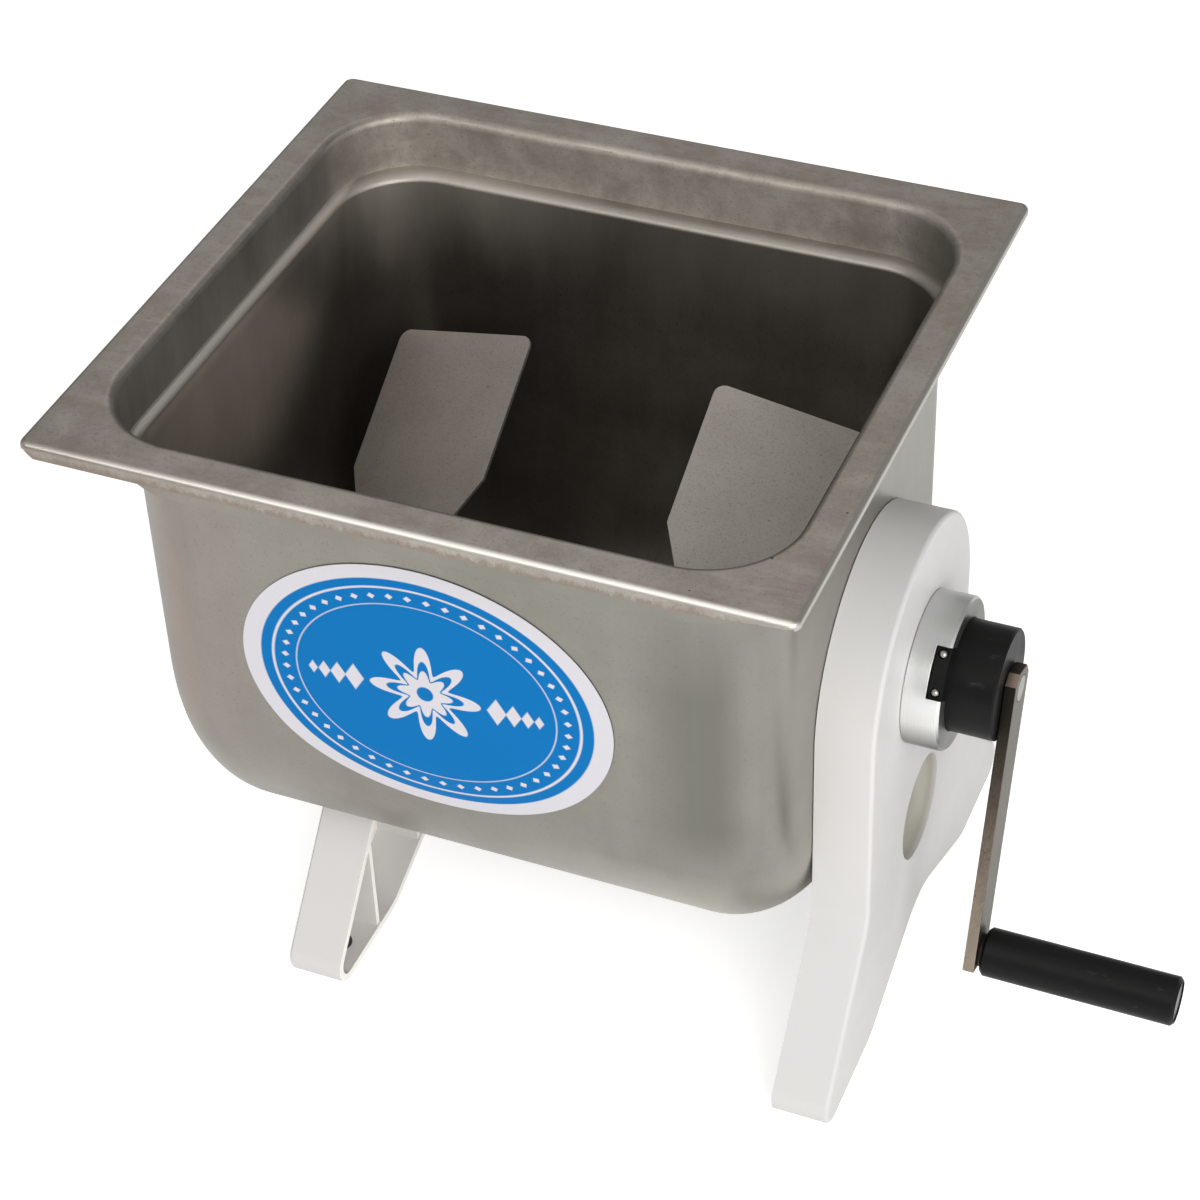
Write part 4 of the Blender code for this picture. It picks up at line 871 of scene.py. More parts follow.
def make_rotor():
    """The paddle shaft, with a square socket for the crank's tongue and a bush at its left end."""
    bush_bore = PIVOT_RADIUS + RUNNING_GAP
    bush_radius = bush_bore + BUSH_WALL
    bush_end = ROTOR_LEFT_X + BUSH_LENGTH
    profile = [
        (ROTOR_RIGHT_X, ROTOR_RADIUS),
        (ROTOR_LEFT_X, ROTOR_RADIUS),
        (ROTOR_LEFT_X, bush_radius + SEAT_GAP),
        (bush_end + BUSH_END_ROOM, bush_radius + SEAT_GAP),
    ]
    shaft = piece("paddle_shaft", spun(profile, MEDIUM_ROUND), STEEL, ROTOR)
    half = TONGUE_FLATS / 2 + RUNNING_GAP
    low = (TONGUE_X - SOCKET_SPARE, -half, -half)
    cut(shaft, box(low, (ROTOR_RIGHT_X + TONGUE_FLATS, half, half), CRANK_ANGLE))
    sizes = (ROTOR_LEFT_X, bush_end, bush_bore, bush_radius, MEDIUM_ROUND)
    plain_ring("left_bush", BUSH_PLASTIC, ROTOR, *sizes)
    make_paddle("paddle_left", LEFT_PADDLE)
    make_paddle("paddle_right", RIGHT_PADDLE)


def make_paddle(name, place):
    """A flat blade that leans back from the shaft and is twisted about its own length."""
    foot_half = PADDLE_HALF_WIDTH - PADDLE_TAPER * (PADDLE_SHOULDER - PADDLE_FOOT)
    outline = [
        (-foot_half, PADDLE_FOOT, 0),
        (foot_half, PADDLE_FOOT, 0),
        (PADDLE_HALF_WIDTH, PADDLE_SHOULDER, PADDLE_SHOULDER_ROUND),
        (PADDLE_HALF_WIDTH, PADDLE_TIP, PADDLE_TIP_ROUND),
        (-PADDLE_HALF_WIDTH, PADDLE_TIP, PADDLE_TIP_ROUND),
        (-PADDLE_HALF_WIDTH, PADDLE_SHOULDER, PADDLE_SHOULDER_ROUND),
    ]
    mesh = prism(rounded(outline), -PADDLE_THICKNESS / 2, PADDLE_THICKNESS / 2)
    # The outline is drawn in Y and Z: its width turns towards X, then the blade leans to the back.
    width_turn = Matrix.Rotation(place["twist"] - math.pi / 2, 4, "Z")
    lean = Matrix.Rotation(-place["lean"], 4, "X")
    mesh.transform(Matrix.Translation((place["x"], 0, 0)) @ lean @ width_turn)
    blade = piece(name, mesh, PADDLE_STEEL, ROTOR)
    reach = 2 * PADDLE_HALF_WIDTH
    cut(blade, cylinder(ROTOR_RADIUS + SEAT_GAP, place["x"] - reach, place["x"] + reach))


def make_left_pivot():
    """The pin on the tank's left wall that carries the paddle shaft."""
    profile = [
        (PIVOT_IN_X + PIVOT_LENGTH, PIVOT_RADIUS),
        (PIVOT_IN_X, PIVOT_RADIUS),
        (PIVOT_IN_X, PIVOT_FLANGE_RADIUS),
        (PIVOT_IN_X - PIVOT_FLANGE_THICKNESS, PIVOT_FLANGE_RADIUS),
    ]
    piece("left_pivot_pin", spun(profile, MEDIUM_ROUND), STEEL, HUB)


def side_points(half_length, half_width, radius):
    """One long side of a rounded rectangle, left to right, as (x, distance from the middle)."""
    corner = [(half_length - x, half_width - y) for x, y in quarter(radius, CORNER_STEPS)]
    between = [((half_length - radius) * share, half_width) for share in STRAIGHT_SHARES]
    return [(-x, y) for x, y in reversed(corner)] + between + corner


def lip_drop(x):
    """How far the rim's lip hangs down: it is cut away near the ends of the long sides."""
    room = max(0, RIM_LENGTH / 2 - abs(x) - RIM_FOLD)
    return RIM_FOLD + (LIP_DROP - RIM_FOLD) * min(1, room / (CORNER_CUT if x < 0 else CORNER_TAPER))


def tank_rings():
    """Half length, half width, corner radius and height of each ring of the sheet's upper face."""
    length, width = RIM_LENGTH / 2, RIM_WIDTH / 2
    rings = [(length, width, RIM_CORNER, RIM_HEIGHT - LIP_DROP)]
    for drop, inward in quarter(RIM_FOLD):
        rings.append((length - inward, width - inward, RIM_CORNER - inward, RIM_HEIGHT - drop))
    opening = (OPENING_LENGTH / 2, OPENING_WIDTH / 2, OPENING_CORNER)
    for out, drop in quarter(SOFT_FILLET):
        rings.append((*[size + out for size in opening], RIM_HEIGHT - drop))
    body = (WALL_IN, TROUGH_RADIUS - SHEET, BODY_CORNER - SHEET)
    for rest, fall in quarter(1):
        sizes = [inner + (1 - rest) * (outer - inner) for inner, outer in zip(opening, body)]
        rings.append((*sizes, RIM_HEIGHT - SHOULDER_DROP - SHOULDER_FALL * fall))
    return rings


def tank_mesh():
    """The upper face of the tank's sheet: rim, opening, shoulder, walls and round bottom."""
    bm = bmesh.new()
    loops = []
    for half_length, half_width, radius, height in tank_rings():
        side = side_points(half_length, half_width, radius)
        loop = [(x, -y, height) for x, y in side] + [(x, y, height) for x, y in reversed(side)]
        if not loops:
            loop = [(x, y, RIM_HEIGHT - lip_drop(x)) for x, y, _ in loop]
        loops.append([bm.verts.new(point) for point in loop])
    for number, (upper, lower) in enumerate(zip(loops, loops[1:])):
        slot = RIM_SLOT if number < RIM_BANDS else BAND_SLOT
        weave(bm, upper, lower, slot if number < UPPER_BANDS else INSIDE_SLOT)
    turns = [math.pi * (1 + step / TROUGH_STEPS) for step in range(TROUGH_STEPS + 1)]
    columns = []
    for index, (x, reach) in enumerate(side):
        arc = [(x, reach * math.cos(t), HUB_Z + reach * math.sin(t)) for t in turns]
        arc = [bm.verts.new(point) for point in arc]
        columns.append([lower[index], *arc, lower[-1 - index]])
    for left, right in zip(columns, columns[1:]):
        weave(bm, right, left, INSIDE_SLOT, ring=False)
    bm.faces.new(columns[0]).material_index = INSIDE_SLOT
    bm.faces.new(columns[-1][::-1]).material_index = INSIDE_SLOT
    return plain_mesh(bm)


def make_tank():
    """The tank. Each look of its upper face is followed by the look of the sheet's other side there."""
    mesh = tank_mesh()
    for _ in TANK_LOOKS:
        mesh.materials.append(None)
    tank = piece("tank", mesh, TANK_LOOKS, CHURN)
    sheet = tank.modifiers.new("sheet", "SOLIDIFY")
    sheet.thickness = SHEET
    sheet.offset = -1
    sheet.use_even_offset = True
    sheet.material_offset = 1
    sheet.material_offset_rim = 1
    cut(tank, cylinder(NOSE_RADIUS + SEAT_GAP, WALL_IN - SHEET, WALL_OUT + SHEET, z=HUB_Z))


def wall_point(x, drop, out):
    """A point on the front of the tank, given how far the wall runs down to it from the trough's axis."""
    radius = TROUGH_RADIUS + out
    if drop <= 0:
        return (x, -radius, HUB_Z - drop)
    turn = drop / TROUGH_RADIUS
    return (x, -radius * math.cos(turn), HUB_Z - radius * math.sin(turn))


def make_label():
    """A thin oval that lies on the tank's front and follows it into the round bottom."""
    bm = bmesh.new()
    bmesh.ops.create_grid(bm, x_segments=LABEL_STEPS, y_segments=LABEL_STEPS, size=1)
    flat = {}
    for vert in bm.verts:
        across, up, _ = vert.co
        flat[vert] = (across * math.sqrt(1 - up * up / 2), up * math.sqrt(1 - across * across / 2))
        x = LABEL_X + LABEL_HALF_LENGTH * flat[vert][0]
        height = LABEL_HEIGHT + LABEL_HALF_HEIGHT * flat[vert][1]
        vert.co = wall_point(x, HUB_Z - height, SEAT_GAP)
    drawing = bm.loops.layers.uv.new("drawing")
    for face in bm.faces:
        for loop in face.loops:
            loop[drawing].uv = [(1 + part) / 2 for part in flat[loop.vert]]
    label = piece("front_label", plain_mesh(bm), "label_film", CHURN)
    film = label.modifiers.new("film", "SOLIDIFY")
    film.thickness = LABEL_THICKNESS
    film.offset = 1


class Value:
    """A number that changes from point to point: what a node of a look gives out."""

    def __init__(self, look, socket):
        self.look = look
        self.socket = socket

    def __add__(self, other):
        return self.look.calculate("ADD", self, other)

    def __sub__(self, other):
        return self.look.calculate("SUBTRACT", self, other)

    def __mul__(self, other):
        return self.look.calculate("MULTIPLY", self, other)

    def __abs__(self):
        return self.look.calculate("ABSOLUTE", self)

    def spread(self, low, high, new_low=0.0, new_high=1.0):
        """Takes the range from low to high to a new range, and keeps to it."""
        bounds = {"From Min": low, "From Max": high, "To Min": new_low, "To Max": new_high}
        return self.look.add("MapRange", {"Value": self, **bounds}, "Result")

    def below(self, limit):
        """1 below a limit and 0 above it, with the label's soft edge between them."""
        return self.spread(limit - PRINT_EDGE, limit + PRINT_EDGE, 1, 0)


class Nodes:
    """Short ways to add nodes to a tree."""

    def __init__(self, tree):
        self.tree = tree

    def feed(self, socket, value):
        """Links a value to an input, or sets the input to a plain number or colour."""
        if isinstance(value, Value):
            self.tree.links.new(value.socket, socket)
        elif socket.type == "RGBA":
            socket.default_value = (*value, 1)
        else:
            socket.default_value = value

    def add(self, kind, inputs, output=0, **settings):
        """Adds a node with its inputs and settings, and returns one of its outputs."""
        node = self.tree.nodes.new("ShaderNode" + kind)
        for name, value in settings.items():
            setattr(node, name, value)
        for name, value in inputs.items():
            self.feed(node.inputs[name], value)
        return Value(self, node.outputs[output])

    def calculate(self, operation, *values):
        return self.add("Math", dict(enumerate(values)), operation=operation)

    def length(self, first, second):
        """The distance from the origin, given two parts at right angles."""
        return self.calculate("SQRT", first * first + second * second)

    def parts(self, vector):
        return [self.add("SeparateXYZ", {0: vector}, part) for part in range(3)]

    def blend(self, share, first, second, mode="MIX"):
        """One colour where the share is 0 and the other where it is 1."""
        inputs = {"Factor": share, 6: first, 7: second}
        return self.add("Mix", inputs, 2, data_type="RGBA", blend_type=mode)


class Look(Nodes):
    """A material whose colour is laid on in steps, from the one that it starts with."""

    def __init__(self, name, base, roughness, metallic=0.0):
        self.name = name
        self.material = bpy.data.materials.new(name)
        self.material.use_nodes = True
        super().__init__(self.material.node_tree)
        self.shader = self.tree.nodes["Principled BSDF"]
        self.set("Base Color", base)
        self.set("Roughness", roughness)
        self.set("Metallic", metallic)
        self.base = base
        self.relief = {}
        self.place = self.add("TexCoord", {}, "Object")
        x, self.y, self.z = self.parts(self.place)
        self.x = x - TANK_X
        self.facing = self.parts(self.add("TexCoord", {}, "Normal"))

    def set(self, name, value):
        self.feed(self.shader.inputs[name], value)

    def noise(self, scale, detail=3.0, roughness=0.55, stretch=(1, 1, 1), shift=(0, 0, 0)):
        """An uneven value, on places that are scaled along each axis and then shifted."""
        place = self.add("Mapping", {"Vector": self.place, "Scale": stretch, "Location": shift})
        inputs = {"Vector": place, "Scale": scale, "Detail": detail, "Roughness": roughness}
        return self.add("TexNoise", inputs, "Fac")

    def rings(self, along, scale, detail):
        """Fine turning marks that follow one value."""
        inputs = {"W": along, "Scale": scale, "Detail": detail}
        return self.add("TexNoise", inputs, "Fac", noise_dimensions="1D").spread(0.3, 0.7)

    def paint(self, share, tone, base=None, mode="MIX"):
        """Lays a tone over the colour so far, or over another, where the share is high."""
        self.base = self.blend(share, base or self.base, tone, mode)
        self.set("Base Color", self.base)

    def stain(self, tone, low, high, most, *noise):
        """Lays a tone where a noise is high, at most up to a share."""
        self.paint(self.noise(*noise).spread(low, high, 0, most), tone)

    def wear(self, low, high, *noise):
        """Lets the roughness wander between two values."""
        self.set("Roughness", self.noise(*noise).spread(0.3, 0.7, low, high))

    def bump(self, height, distance, strength=1.0):
        """Raises the surface, on top of the bumps that it has."""
        inputs = {"Height": height, "Distance": distance, "Strength": strength, **self.relief}
        self.relief = {"Normal": self.add("Bump", inputs)}
        self.set("Normal", self.relief["Normal"])


def steel_look(name, light, dark, roughness, blotch_scale, speckle, bow, metallic=1.0):
    """Satin steel: cloudy blotches, fine speckles, faint upright streaks and a slight waviness."""
    look = Look(name, light, roughness, metallic)
    blotches = look.noise(blotch_scale, 5, 0.6).spread(0.35, 0.65)
    streaks = look.noise(90, 3, 0.5, (1, 1, 0.05)).spread(0.35, 0.7)
    look.paint(blotches * 0.7 + streaks * 0.3, dark)
    look.stain([part * 0.45 for part in dark], 0.62, 0.72, speckle, 900, 2, 0.5)
    look.wear(roughness - 0.05, roughness + 0.07, 14, 4, 0.6, (1, 1, 0.6), (3, 1, 7))
    look.bump(look.noise(11, 1.5, 0.5), bow)
    look.bump(look.noise(1400, 2, 0.6), 0.00002, 0.35)
    return look


def wall_steel():
    """The tank's outside, with painted reflections as soft strips near the front's ends, a painted
    highlight low down towards the right and a right end painted paler as light.
    """
    light, dark = (0.345, 0.318, 0.285), (0.297, 0.272, 0.243)
    look = steel_look("wall_steel", light, dark, 0.37, 22, 0.3, 0.00025)
    across = look.x + look.noise(12, 2, 0.5).spread(0.3, 0.7, -0.003, 0.003)
    front = look.y.spread(-0.11, -0.125) * look.z.spread(0.315, 0.26) * look.z.spread(0.155, 0.185)
    # Painted reflections: soft upright darker and lighter strips on the front.
    for middle, reach, share, tone in WALL_REFLECTIONS:
        reflection_strip = abs(across - middle).spread(reach, reach * 0.1, 0, share)
        look.paint(reflection_strip * front, tone)
    look.paint(across.spread(-0.12, 0.02), (0.925, 0.965, 0.955), mode="MULTIPLY")
    # A painted highlight, paler and warmer, low on the wall towards the right.
    look.paint(look.z.spread(0.15, 0.10, 0, 0.75) * across.spread(0.02, 0.10), (0.60, 0.59, 0.515))
    # The right end is painted paler, as painted light where it is lit from the right.
    look.paint(look.x.spread(0.146, 0.172), (0.54, 0.53, 0.49))
    return look


def rim_steel():
    """The rim, with brownish smudges, wiped streaks and small marks, and painted highlights along its
    front and right rounded edges.
    """
    look = steel_look("rim_steel", (0.455, 0.42, 0.38), (0.37, 0.335, 0.30), 0.35, 45, 0.6, 0.0003)
    look.stain((0.31, 0.26, 0.22), 0.44, 0.66, 0.75, 28, 7, 0.75, (1, 1, 1), (5, 2, 1))
    look.stain((0.52, 0.485, 0.44), 0.50, 0.72, 0.5, 70, 6, 0.7, (0.25, 1, 1), (1, 7, 3))
    look.stain((0.24, 0.20, 0.17), 0.56, 0.70, 0.5, 420, 4, 0.7)
    # The opening's rounded edge at the back is duller than the rest of the rim.
    dull = look.y.spread(0.10, 0.13) * look.y.spread(0.150, 0.1455) * abs(look.x).spread(0.168, 0.150)
    look.set("Roughness", dull.spread(0, 1, 0.36, 0.5))
    # A ragged darker brown band along the front lip, under its rounded edge.
    ragged = look.z + look.noise(260, 5, 0.75, (1, 1, 0.5)).spread(0.35, 0.65, -0.002, 0.002)
    edge = ragged.spread(RIM_HEIGHT - 0.0035, RIM_HEIGHT - 0.006, 0, 0.6)
    look.paint(edge * look.y.spread(-0.15, -0.16), (0.24, 0.185, 0.14))
    # A painted highlight along the rounded edge of the right end.
    fold = RIM_LENGTH / 2 - RIM_FOLD
    look.paint(look.x.spread(fold, fold + 0.0015), (0.62, 0.585, 0.54))
    for x, y, size in RIM_SPOTS:
        off = look.length(look.x - x, look.y - y)
        look.paint(off.spread(size, size * 0.5, 0, 0.85), (0.06, 0.045, 0.035))
    # A painted highlight along the front's rounded edge, strongest from its middle to its right end, where
    # the metal is made partly plain so that it shows as light.
    fold = RIM_WIDTH / 2 - RIM_FOLD
    edge_highlight = look.y.spread(-fold + 0.0008, -fold - 0.0012)
    edge_highlight = edge_highlight * look.z.spread(RIM_HEIGHT - 0.0021, RIM_HEIGHT - 0.0009)
    edge_highlight = edge_highlight * look.x.spread(-0.175, -0.02, 0.35, 1)
    look.paint(edge_highlight, (0.78, 0.745, 0.685))
    look.set("Metallic", edge_highlight.spread(0, 1, 1, 0.25))
    return look


def band_steel():
    """The upright band under the opening: dull and mottled, painted light at the back and painted shade
    elsewhere.
    """
    light, dark = (0.48, 0.445, 0.395), (0.34, 0.305, 0.26)
    look = steel_look("band_steel", light, dark, 0.50, 60, 0.7, 0.0002, 0.45)
    look.stain((0.24, 0.21, 0.18), 0.44, 0.66, 0.6, 55, 7, 0.75)
    # Painted light and shade: the band keeps its light tone at the back, where it faces the light, and
    # takes a darker, streaky painted shade on its other sides.
    back = look.y.spread(0.085, 0.132) * look.x.spread(0.115, 0.150, 1, 0.25)
    streaks = look.noise(40, 5, 0.65, (1, 1, 0.3)).spread(0.35, 0.7)
    dark = look.blend(streaks, (0.12, 0.108, 0.095), (0.18, 0.165, 0.148))
    look.paint(back, look.base, dark)
    return look


def inside_steel():
    """The tank's inside, painted darker than its outside as shade, with a duller zone just under the
    shoulder that is painted paler as light, a painted reflection on the upper left wall and a painted
    highlight along the left shoulder.
    """
    light, dark = (0.26, 0.24, 0.215), (0.18, 0.16, 0.14)
    look = steel_look("inside_steel", light, dark, 0.36, 26, 0.5, 0.0004, 0.93)
    height = look.z + look.noise(30, 4, 0.6, (1, 1, 0.3)).spread(0.3, 0.7, -0.012, 0.012)
    # Painted light: paler just under the shoulder, most at the back and on the left, where light falls in.
    lit_zone = height.spread(RIM_HEIGHT - 0.085, RIM_HEIGHT - SHOULDER_DROP, 0, 0.8)
    lit_zone = lit_zone * look.y.spread(0.02, 0.12, 0.35, 1) * look.x.spread(-0.10, -0.02, 1, 0.5)
    look.paint(lit_zone, (0.55, 0.51, 0.46))
    # A painted reflection: a lighter zone on the upper left wall.
    side = look.x.spread(-0.10, -0.145, 0, 0.3)
    side = side * height.spread(RIM_HEIGHT - 0.24, RIM_HEIGHT - 0.06)
    look.paint(side, (0.36, 0.32, 0.285))
    # A painted highlight along the left shoulder.
    left = look.x.spread(-WALL_IN + 0.0005, -WALL_IN - 0.0015)
    left = left * look.z.spread(RIM_HEIGHT - 0.040, RIM_HEIGHT - SHOULDER_DROP - 0.005)
    look.paint(left, (0.68, 0.64, 0.59))
    look.set("Roughness", lit_zone.spread(0, 0.8, 0.34, 0.55))
    return look


def blasted_steel():
    """Bead-blasted sheet: an even grey with fine dark specks."""
    look = Look("blasted_steel", (0.36, 0.335, 0.315), 0.55, 1.0)
    cloud = look.noise(30, 4, 0.6).spread(0.3, 0.7)
    look.paint(cloud, (0.43, 0.392, 0.36), (0.49, 0.452, 0.418))
    look.stain((0.21, 0.185, 0.165), 0.52, 0.70, 0.5, 1100, 3, 0.7)
    look.stain((0.16, 0.15, 0.135), 0.72, 0.76, 0.4, 450, 1, 0.5)
    look.bump(look.noise(1800, 2, 0.6), 0.00003, 0.6)
    return look


def arm_steel():
    """Flat bar with a brownish grey skin, a grain along its length and dark spots, and painted light and
    shade that differ from face to face.
    """
    look = Look("arm_steel", (0.30, 0.25, 0.21), 0.40, 1.0)
    grain = look.noise(1500, 4, 0.6, (1, 1, 0.02)).spread(0.3, 0.7)
    look.paint(grain, (0.35, 0.29, 0.23), (0.20, 0.16, 0.125))
    look.stain((0.15, 0.12, 0.095), 0.42, 0.66, 0.6, 45, 5, 0.65, (1, 1, 0.5))
    outer, across, up = look.facing
    broad = outer.spread(0.6, 0.9)
    narrow = outer.spread(0.6, 0.9, 1, 0)
    # Painted light and shade that differ by face: the narrow face is painted dark towards the hub and
    # lighter lower down, and the broad face is painted darker.
    look.paint(look.z.spread(HUB_Z - 0.11, HUB_Z - 0.012, 0, 0.95) * narrow, (0.018, 0.015, 0.012))
    look.paint(look.z.spread(HUB_Z - 0.08, HUB_Z - 0.13, 0, 0.6) * narrow, (0.42, 0.36, 0.29))
    look.paint(broad * 0.72, (0.12, 0.107, 0.090))
    look.stain((0.06, 0.045, 0.035), 0.66, 0.72, 0.7, 600, 2, 0.6)
    # The cut end is painted dark as shade, and the slope beside it gets a painted highlight.
    along = up * math.cos(CRANK_ANGLE) - across * math.sin(CRANK_ANGLE)
    end = along.spread(0.85, 0.95)
    slope_highlight = along.spread(0.3, 0.5) - end
    look.paint(slope_highlight * 0.85, (0.33, 0.255, 0.205))
    look.paint(end * 0.75, (0.075, 0.060, 0.040))
    look.set("Roughness", grain.spread(0, 1, 0.34, 0.46))
    look.bump(grain, 0.00004, 0.4)
    return look


def turned_aluminium():
    """Turned light metal, with fine rings round the crank's axis on its faces and its sides, and painted
    shade below the axis, on top and on the outer face.
    """
    look = Look("turned_aluminium", (0.76, 0.77, 0.755), 0.34, 1.0)
    up = look.z - HUB_Z
    lines = look.rings(look.length(look.y, up) + look.x + TANK_X, 3200, 3)
    look.paint(lines, (0.96, 0.965, 0.95), (0.84, 0.845, 0.835))
    # Painted shade: darker below the axis and on top, and darker on the outer face.
    look.paint(up.spread(-0.003, -0.020), (0.31, 0.315, 0.305))
    look.paint(up.spread(0.012, 0.024, 0, 0.6), (0.56, 0.565, 0.555))
    look.paint(look.facing[0].spread(0.8, 0.95), (0.27, 0.275, 0.265))
    look.wear(0.34, 0.44, 60, 3)
    look.bump(lines, 0.00003, 0.5)
    look.set("Anisotropic", 0.4)
    return look


def white_plastic():
    """Moulded plastic: off-white, hardly glossy, with a faint unevenness, painted light on the left leg's
    open side and painted shade in the stand's recess.
    """
    look = Look("white_plastic", (0.65, 0.64, 0.63), 0.42)
    look.set("Specular IOR Level", 0.28)
    cloud = look.noise(9, 3, 0.5).spread(0.35, 0.65)
    look.paint(cloud, (0.64, 0.635, 0.628), (0.665, 0.65, 0.635))
    # The open side of the left leg is painted lighter as painted light, and the recess of the stand gets a
    # warm painted shade.
    lit_open_side = look.x.spread(-0.04, -0.06) * look.facing[0].spread(0.2, 0.5)
    look.paint(lit_open_side, (0.95, 0.93, 0.88))
    sunk = (look.x - STAND_X) * -1
    recess_shade = sunk.spread(0.0002, 0.003) * sunk.spread(0.014, 0.012)
    off = look.length(look.y - RECESS_Y, look.z - RECESS_HEIGHT)
    look.paint(recess_shade * off.spread(RECESS_RADIUS + 0.001, RECESS_RADIUS, 0, 0.9), (0.47, 0.455, 0.39))
    look.wear(0.36, 0.48, 70, 3)
    look.bump(look.noise(20, 1, 0.4), 0.0002)
    look.bump(look.noise(900, 2, 0.5), 0.00002, 0.3)
    return look


def black_plastic():
    """Turned black plastic, with fine rings and small greyish scuffs."""
    look = Look("black_plastic", (0.007, 0.007, 0.007), 0.42)
    look.set("Specular IOR Level", 0.16)
    scuffs = look.noise(160, 5, 0.7, (0.4, 1, 1)).spread(0.62, 0.75, 0, 0.6)
    look.paint(scuffs, (0.05, 0.05, 0.05), (0.006, 0.006, 0.006))
    look.wear(0.36, 0.50, 45, 4)
    look.bump(look.rings(look.x + TANK_X, 2200, 2), 0.00002, 0.35)
    return look


def dark_rubber():
    look = Look("dark_rubber", (0.022, 0.022, 0.026), 0.75)
    look.paint(look.noise(150, 4), (0.032, 0.032, 0.036), (0.018, 0.018, 0.022))
    look.bump(look.noise(1200, 2), 0.00004, 0.5)
    return look


def silicone():
    look = Look("silicone", (0.70, 0.72, 0.74), 0.60)
    look.paint(look.noise(90, 3), (0.74, 0.76, 0.78), (0.66, 0.68, 0.70))
    return look


def bush_plastic():
    look = Look("bush_plastic", (0.80, 0.79, 0.76), 0.50)
    look.paint(look.noise(90, 3), (0.82, 0.81, 0.78), (0.77, 0.76, 0.73))
    return look


def label_film():
    """A white oval with a blue field, rings, a band of dots and a rosette between two rows of diamonds."""
    look = Look("label_film", LABEL_WHITE, 0.34)
    look.set("Specular IOR Level", 0.07)
    u, v, _ = look.parts(look.add("TexCoord", {}, "UV"))
    x = u * 2 - 1
    y = v * 2 - 1
    radius = look.length(x, y)
    look.paint(radius.below(0.90), LABEL_BLUE)
    for low, high in ((0.825, 0.84), (0.70, 0.706)):
        above = radius.spread(low - PRINT_EDGE, low + PRINT_EDGE)
        look.paint(above * radius.below(high), LABEL_WHITE)
    # Dots all round between the two rings.
    step = 2 * math.pi / DOT_COUNT
    turn = look.calculate("ARCTAN2", y, x) * (1 / step) + DOT_COUNT
    along = (look.calculate("FRACT", turn) - 0.5) * (step * DOT_RING)
    look.paint((abs(along) + abs(radius - DOT_RING)).below(0.022), LABEL_WHITE)
    # The rosette is drawn in true lengths, so that it is round.
    tall = y * (LABEL_HALF_HEIGHT / LABEL_HALF_LENGTH)
    reach = look.length(x, tall)
    wave = look.calculate("COSINE", look.calculate("ARCTAN2", tall, x) * PETALS)
    for length, depth, tone in (
        (0.30, 0.16, LABEL_WHITE),
        (0.21, 0.11, LABEL_BLUE),
        (0.15, 0.06, LABEL_WHITE),
    ):
        edge = wave * (depth / 2) + (length - depth / 2)
        look.paint((reach - edge).below(0), tone)
    look.paint(reach.below(0.045), LABEL_BLUE)
    # Rows of diamonds that shrink away from the rosette.
    for centre, size in ((0.385, 0.052), (0.475, 0.042), (0.550, 0.033), (0.612, 0.025)):
        gap = abs(abs(x) - centre) + abs(tall) * 0.62
        look.paint(gap.below(size), LABEL_WHITE)
    look.wear(0.30, 0.40, 40, 3)
    return look


def make_looks():
    """Every material by its name."""
    looks = [steel_look(*row) for row in PLAIN_STEELS]
    looks += [wall_steel(), rim_steel(), band_steel(), inside_steel(), blasted_steel(), arm_steel()]
    looks += [turned_aluminium(), white_plastic(), black_plastic(), dark_rubber(), silicone()]
    looks += [bush_plastic(), label_film()]
    return {look.name: look.material for look in looks}


def settle(name, shape, kinds, graph):
    """The finer copy of one node: the finished mesh, in the frame's own place, that rides on its body."""
    mesh = bpy.data.meshes.new_from_object(shape.evaluated_get(graph), depsgraph=graph)
    mesh.transform(shape.matrix_world)
    mesh.shade_smooth()
    mesh.set_sharp_from_angle(angle=SHARP_ANGLE)
    kinds = kinds if isinstance(kinds, tuple) else (DARKER_NODE_LOOKS.get(name, kinds),)
    while len(mesh.materials) < len(kinds):
        mesh.materials.append(None)
    for number, kind in enumerate(kinds):
        mesh.materials[number] = LOOKS[kind]
    fine = bpy.data.objects.new(name + "_fine", mesh)
    PIECES.objects.link(fine)
    weighted = fine.modifiers.new("shading", "WEIGHTED_NORMAL")
    weighted.keep_sharp = True
    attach(fine, frame["nodes"][name]["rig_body"])
    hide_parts(name)


def settle_all():
    for name, shape, _ in SHAPES:
        if name in EDGE_ROUNDS:
            soften(shape, EDGE_ROUNDS[name])
    bpy.context.view_layer.update()
    graph = bpy.context.evaluated_depsgraph_get()
    for name, shape, kinds in SHAPES:
        settle(name, shape, kinds, graph)
    for obj in list(WORKSHOP.objects):
        bpy.data.objects.remove(obj, do_unlink=True)
    bpy.data.collections.remove(WORKSHOP)


def make_floor():
    """A plain white floor that keeps the churn's shadow and shows white all round it."""
    bm = bmesh.new()
    bmesh.ops.create_circle(bm, cap_ends=True, segments=96, radius=FLOOR_RADIUS)
    mesh = plain_mesh(bm)
    floor = bpy.data.objects.new("floor", mesh)
    bpy.context.scene.collection.objects.link(floor)
    look = Look("floor", (0.87, 0.87, 0.87), 0.9)
    look.set("Specular IOR Level", 0)
    look.set("Emission Color", (1, 1, 1))
    seen = look.add("LightPath", {}, "Is Camera Ray")
    look.set("Emission Strength", seen.spread(0, 1, FLOOR_LIFT, FLOOR_WHITE))
    mesh.materials.append(look.material)


def make_world():
    """A grey studio, brighter overhead than near the floor, that the camera sees as white."""
    world = bpy.data.worlds.new("studio")
    bpy.context.scene.world = world
    world.use_nodes = True
    nodes = Nodes(world.node_tree)
    up = nodes.parts(nodes.add("TexCoord", {}, "Generated"))[2]
    grey = nodes.blend(up, STUDIO_LOW, STUDIO_HIGH)
    seen = nodes.add("LightPath", {}, "Is Camera Ray")
    nodes.feed(world.node_tree.nodes["Background"].inputs["Color"], nodes.blend(seen, grey, (1, 1, 1)))


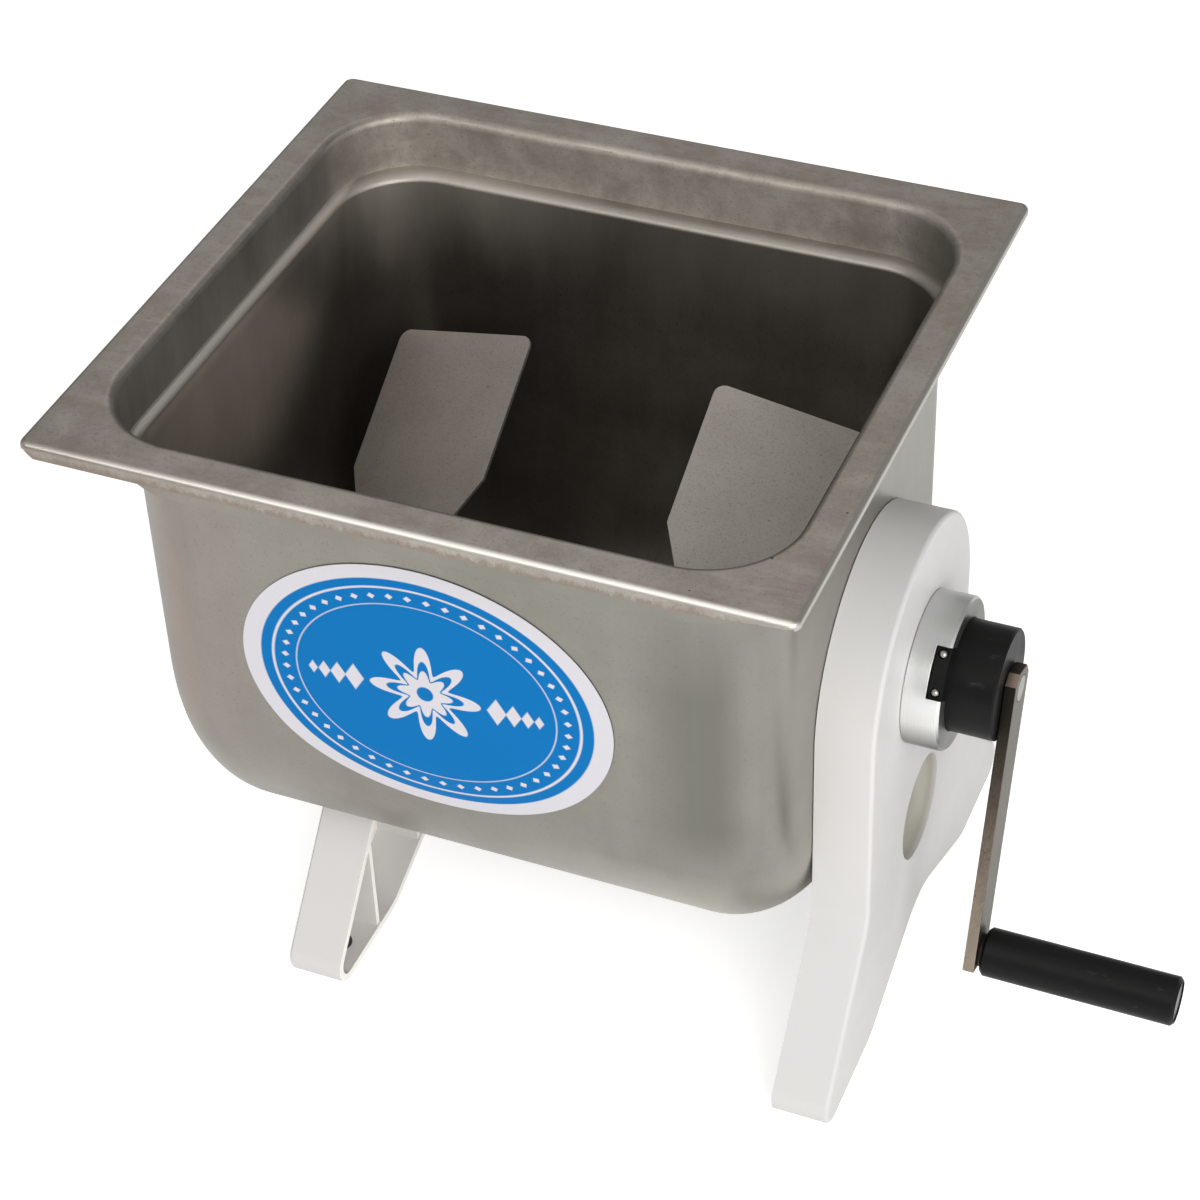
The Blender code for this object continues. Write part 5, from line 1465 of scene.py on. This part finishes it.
def make_light(name, direction, distance, size, radiance, colour):
    """A square panel that faces the churn's middle. The radiance is how bright it looks."""
    lamp = bpy.data.lights.new(name, "AREA")
    lamp.shape = "SQUARE"
    lamp.size = size
    lamp.energy = radiance * math.pi * size**2
    lamp.color = colour
    obj = bpy.data.objects.new(name, lamp)
    bpy.context.scene.collection.objects.link(obj)
    direction = Vector(direction).normalized()
    obj.location = Vector((0, 0, RIM_HEIGHT / 2)) + direction * distance
    obj.rotation_euler = direction.to_track_quat("Z", "Y").to_euler()


def make_camera():
    """The camera of the photograph."""
    camera = bpy.data.cameras.new("camera")
    camera.lens = CAMERA_LENS
    camera.sensor_width = CAMERA_SENSOR
    obj = bpy.data.objects.new("camera", camera)
    bpy.context.scene.collection.objects.link(obj)
    back = -CAMERA_VIEW.normalized()
    right = Vector((0, 0, 1)).cross(back).normalized()
    up = back.cross(right)
    turn = Matrix.Rotation(CAMERA_ROLL, 3, "Z")
    turn = Matrix((right, up, back)).transposed() @ turn
    obj.matrix_world = Matrix.Translation(CAMERA_PLACE) @ turn.to_4x4()
    bpy.context.scene.camera = obj


SHAPES = []
LOOKS = make_looks()
PIECES = new_collection("churn_pieces")
WORKSHOP = new_collection("workshop")
CHURN = hang("churn_frame", None, None, (TANK_X, 0, 0))
HUB = hang("hub_frame", None, CHURN, (0, 0, HUB_Z))
CRANK = hang("crank_frame", None, HUB, (0, 0, 0), CRANK_ANGLE)
GRIP = hang("grip_frame", None, CRANK, (0, 0, -CRANK_RADIUS))
ROTOR = hang("rotor_frame", None, HUB, (0, 0, 0))
LEG_FRAME = hang("leg_frame", None, CHURN, (LEG_X + LEG_DEPTH / 2, 0, HUB_Z))

make_tank()
make_label()
make_stand()
make_leg()
make_pads()
make_pins()
make_housing()
make_housing_fixings()
make_left_pivot()
make_plug()
make_crank_shaft()
make_arm()
make_grip()
make_rotor()
settle_all()

make_floor()
make_world()
for light in LIGHTS:
    make_light(*light)
make_camera()
bpy.context.scene.view_settings.view_transform = "Standard"
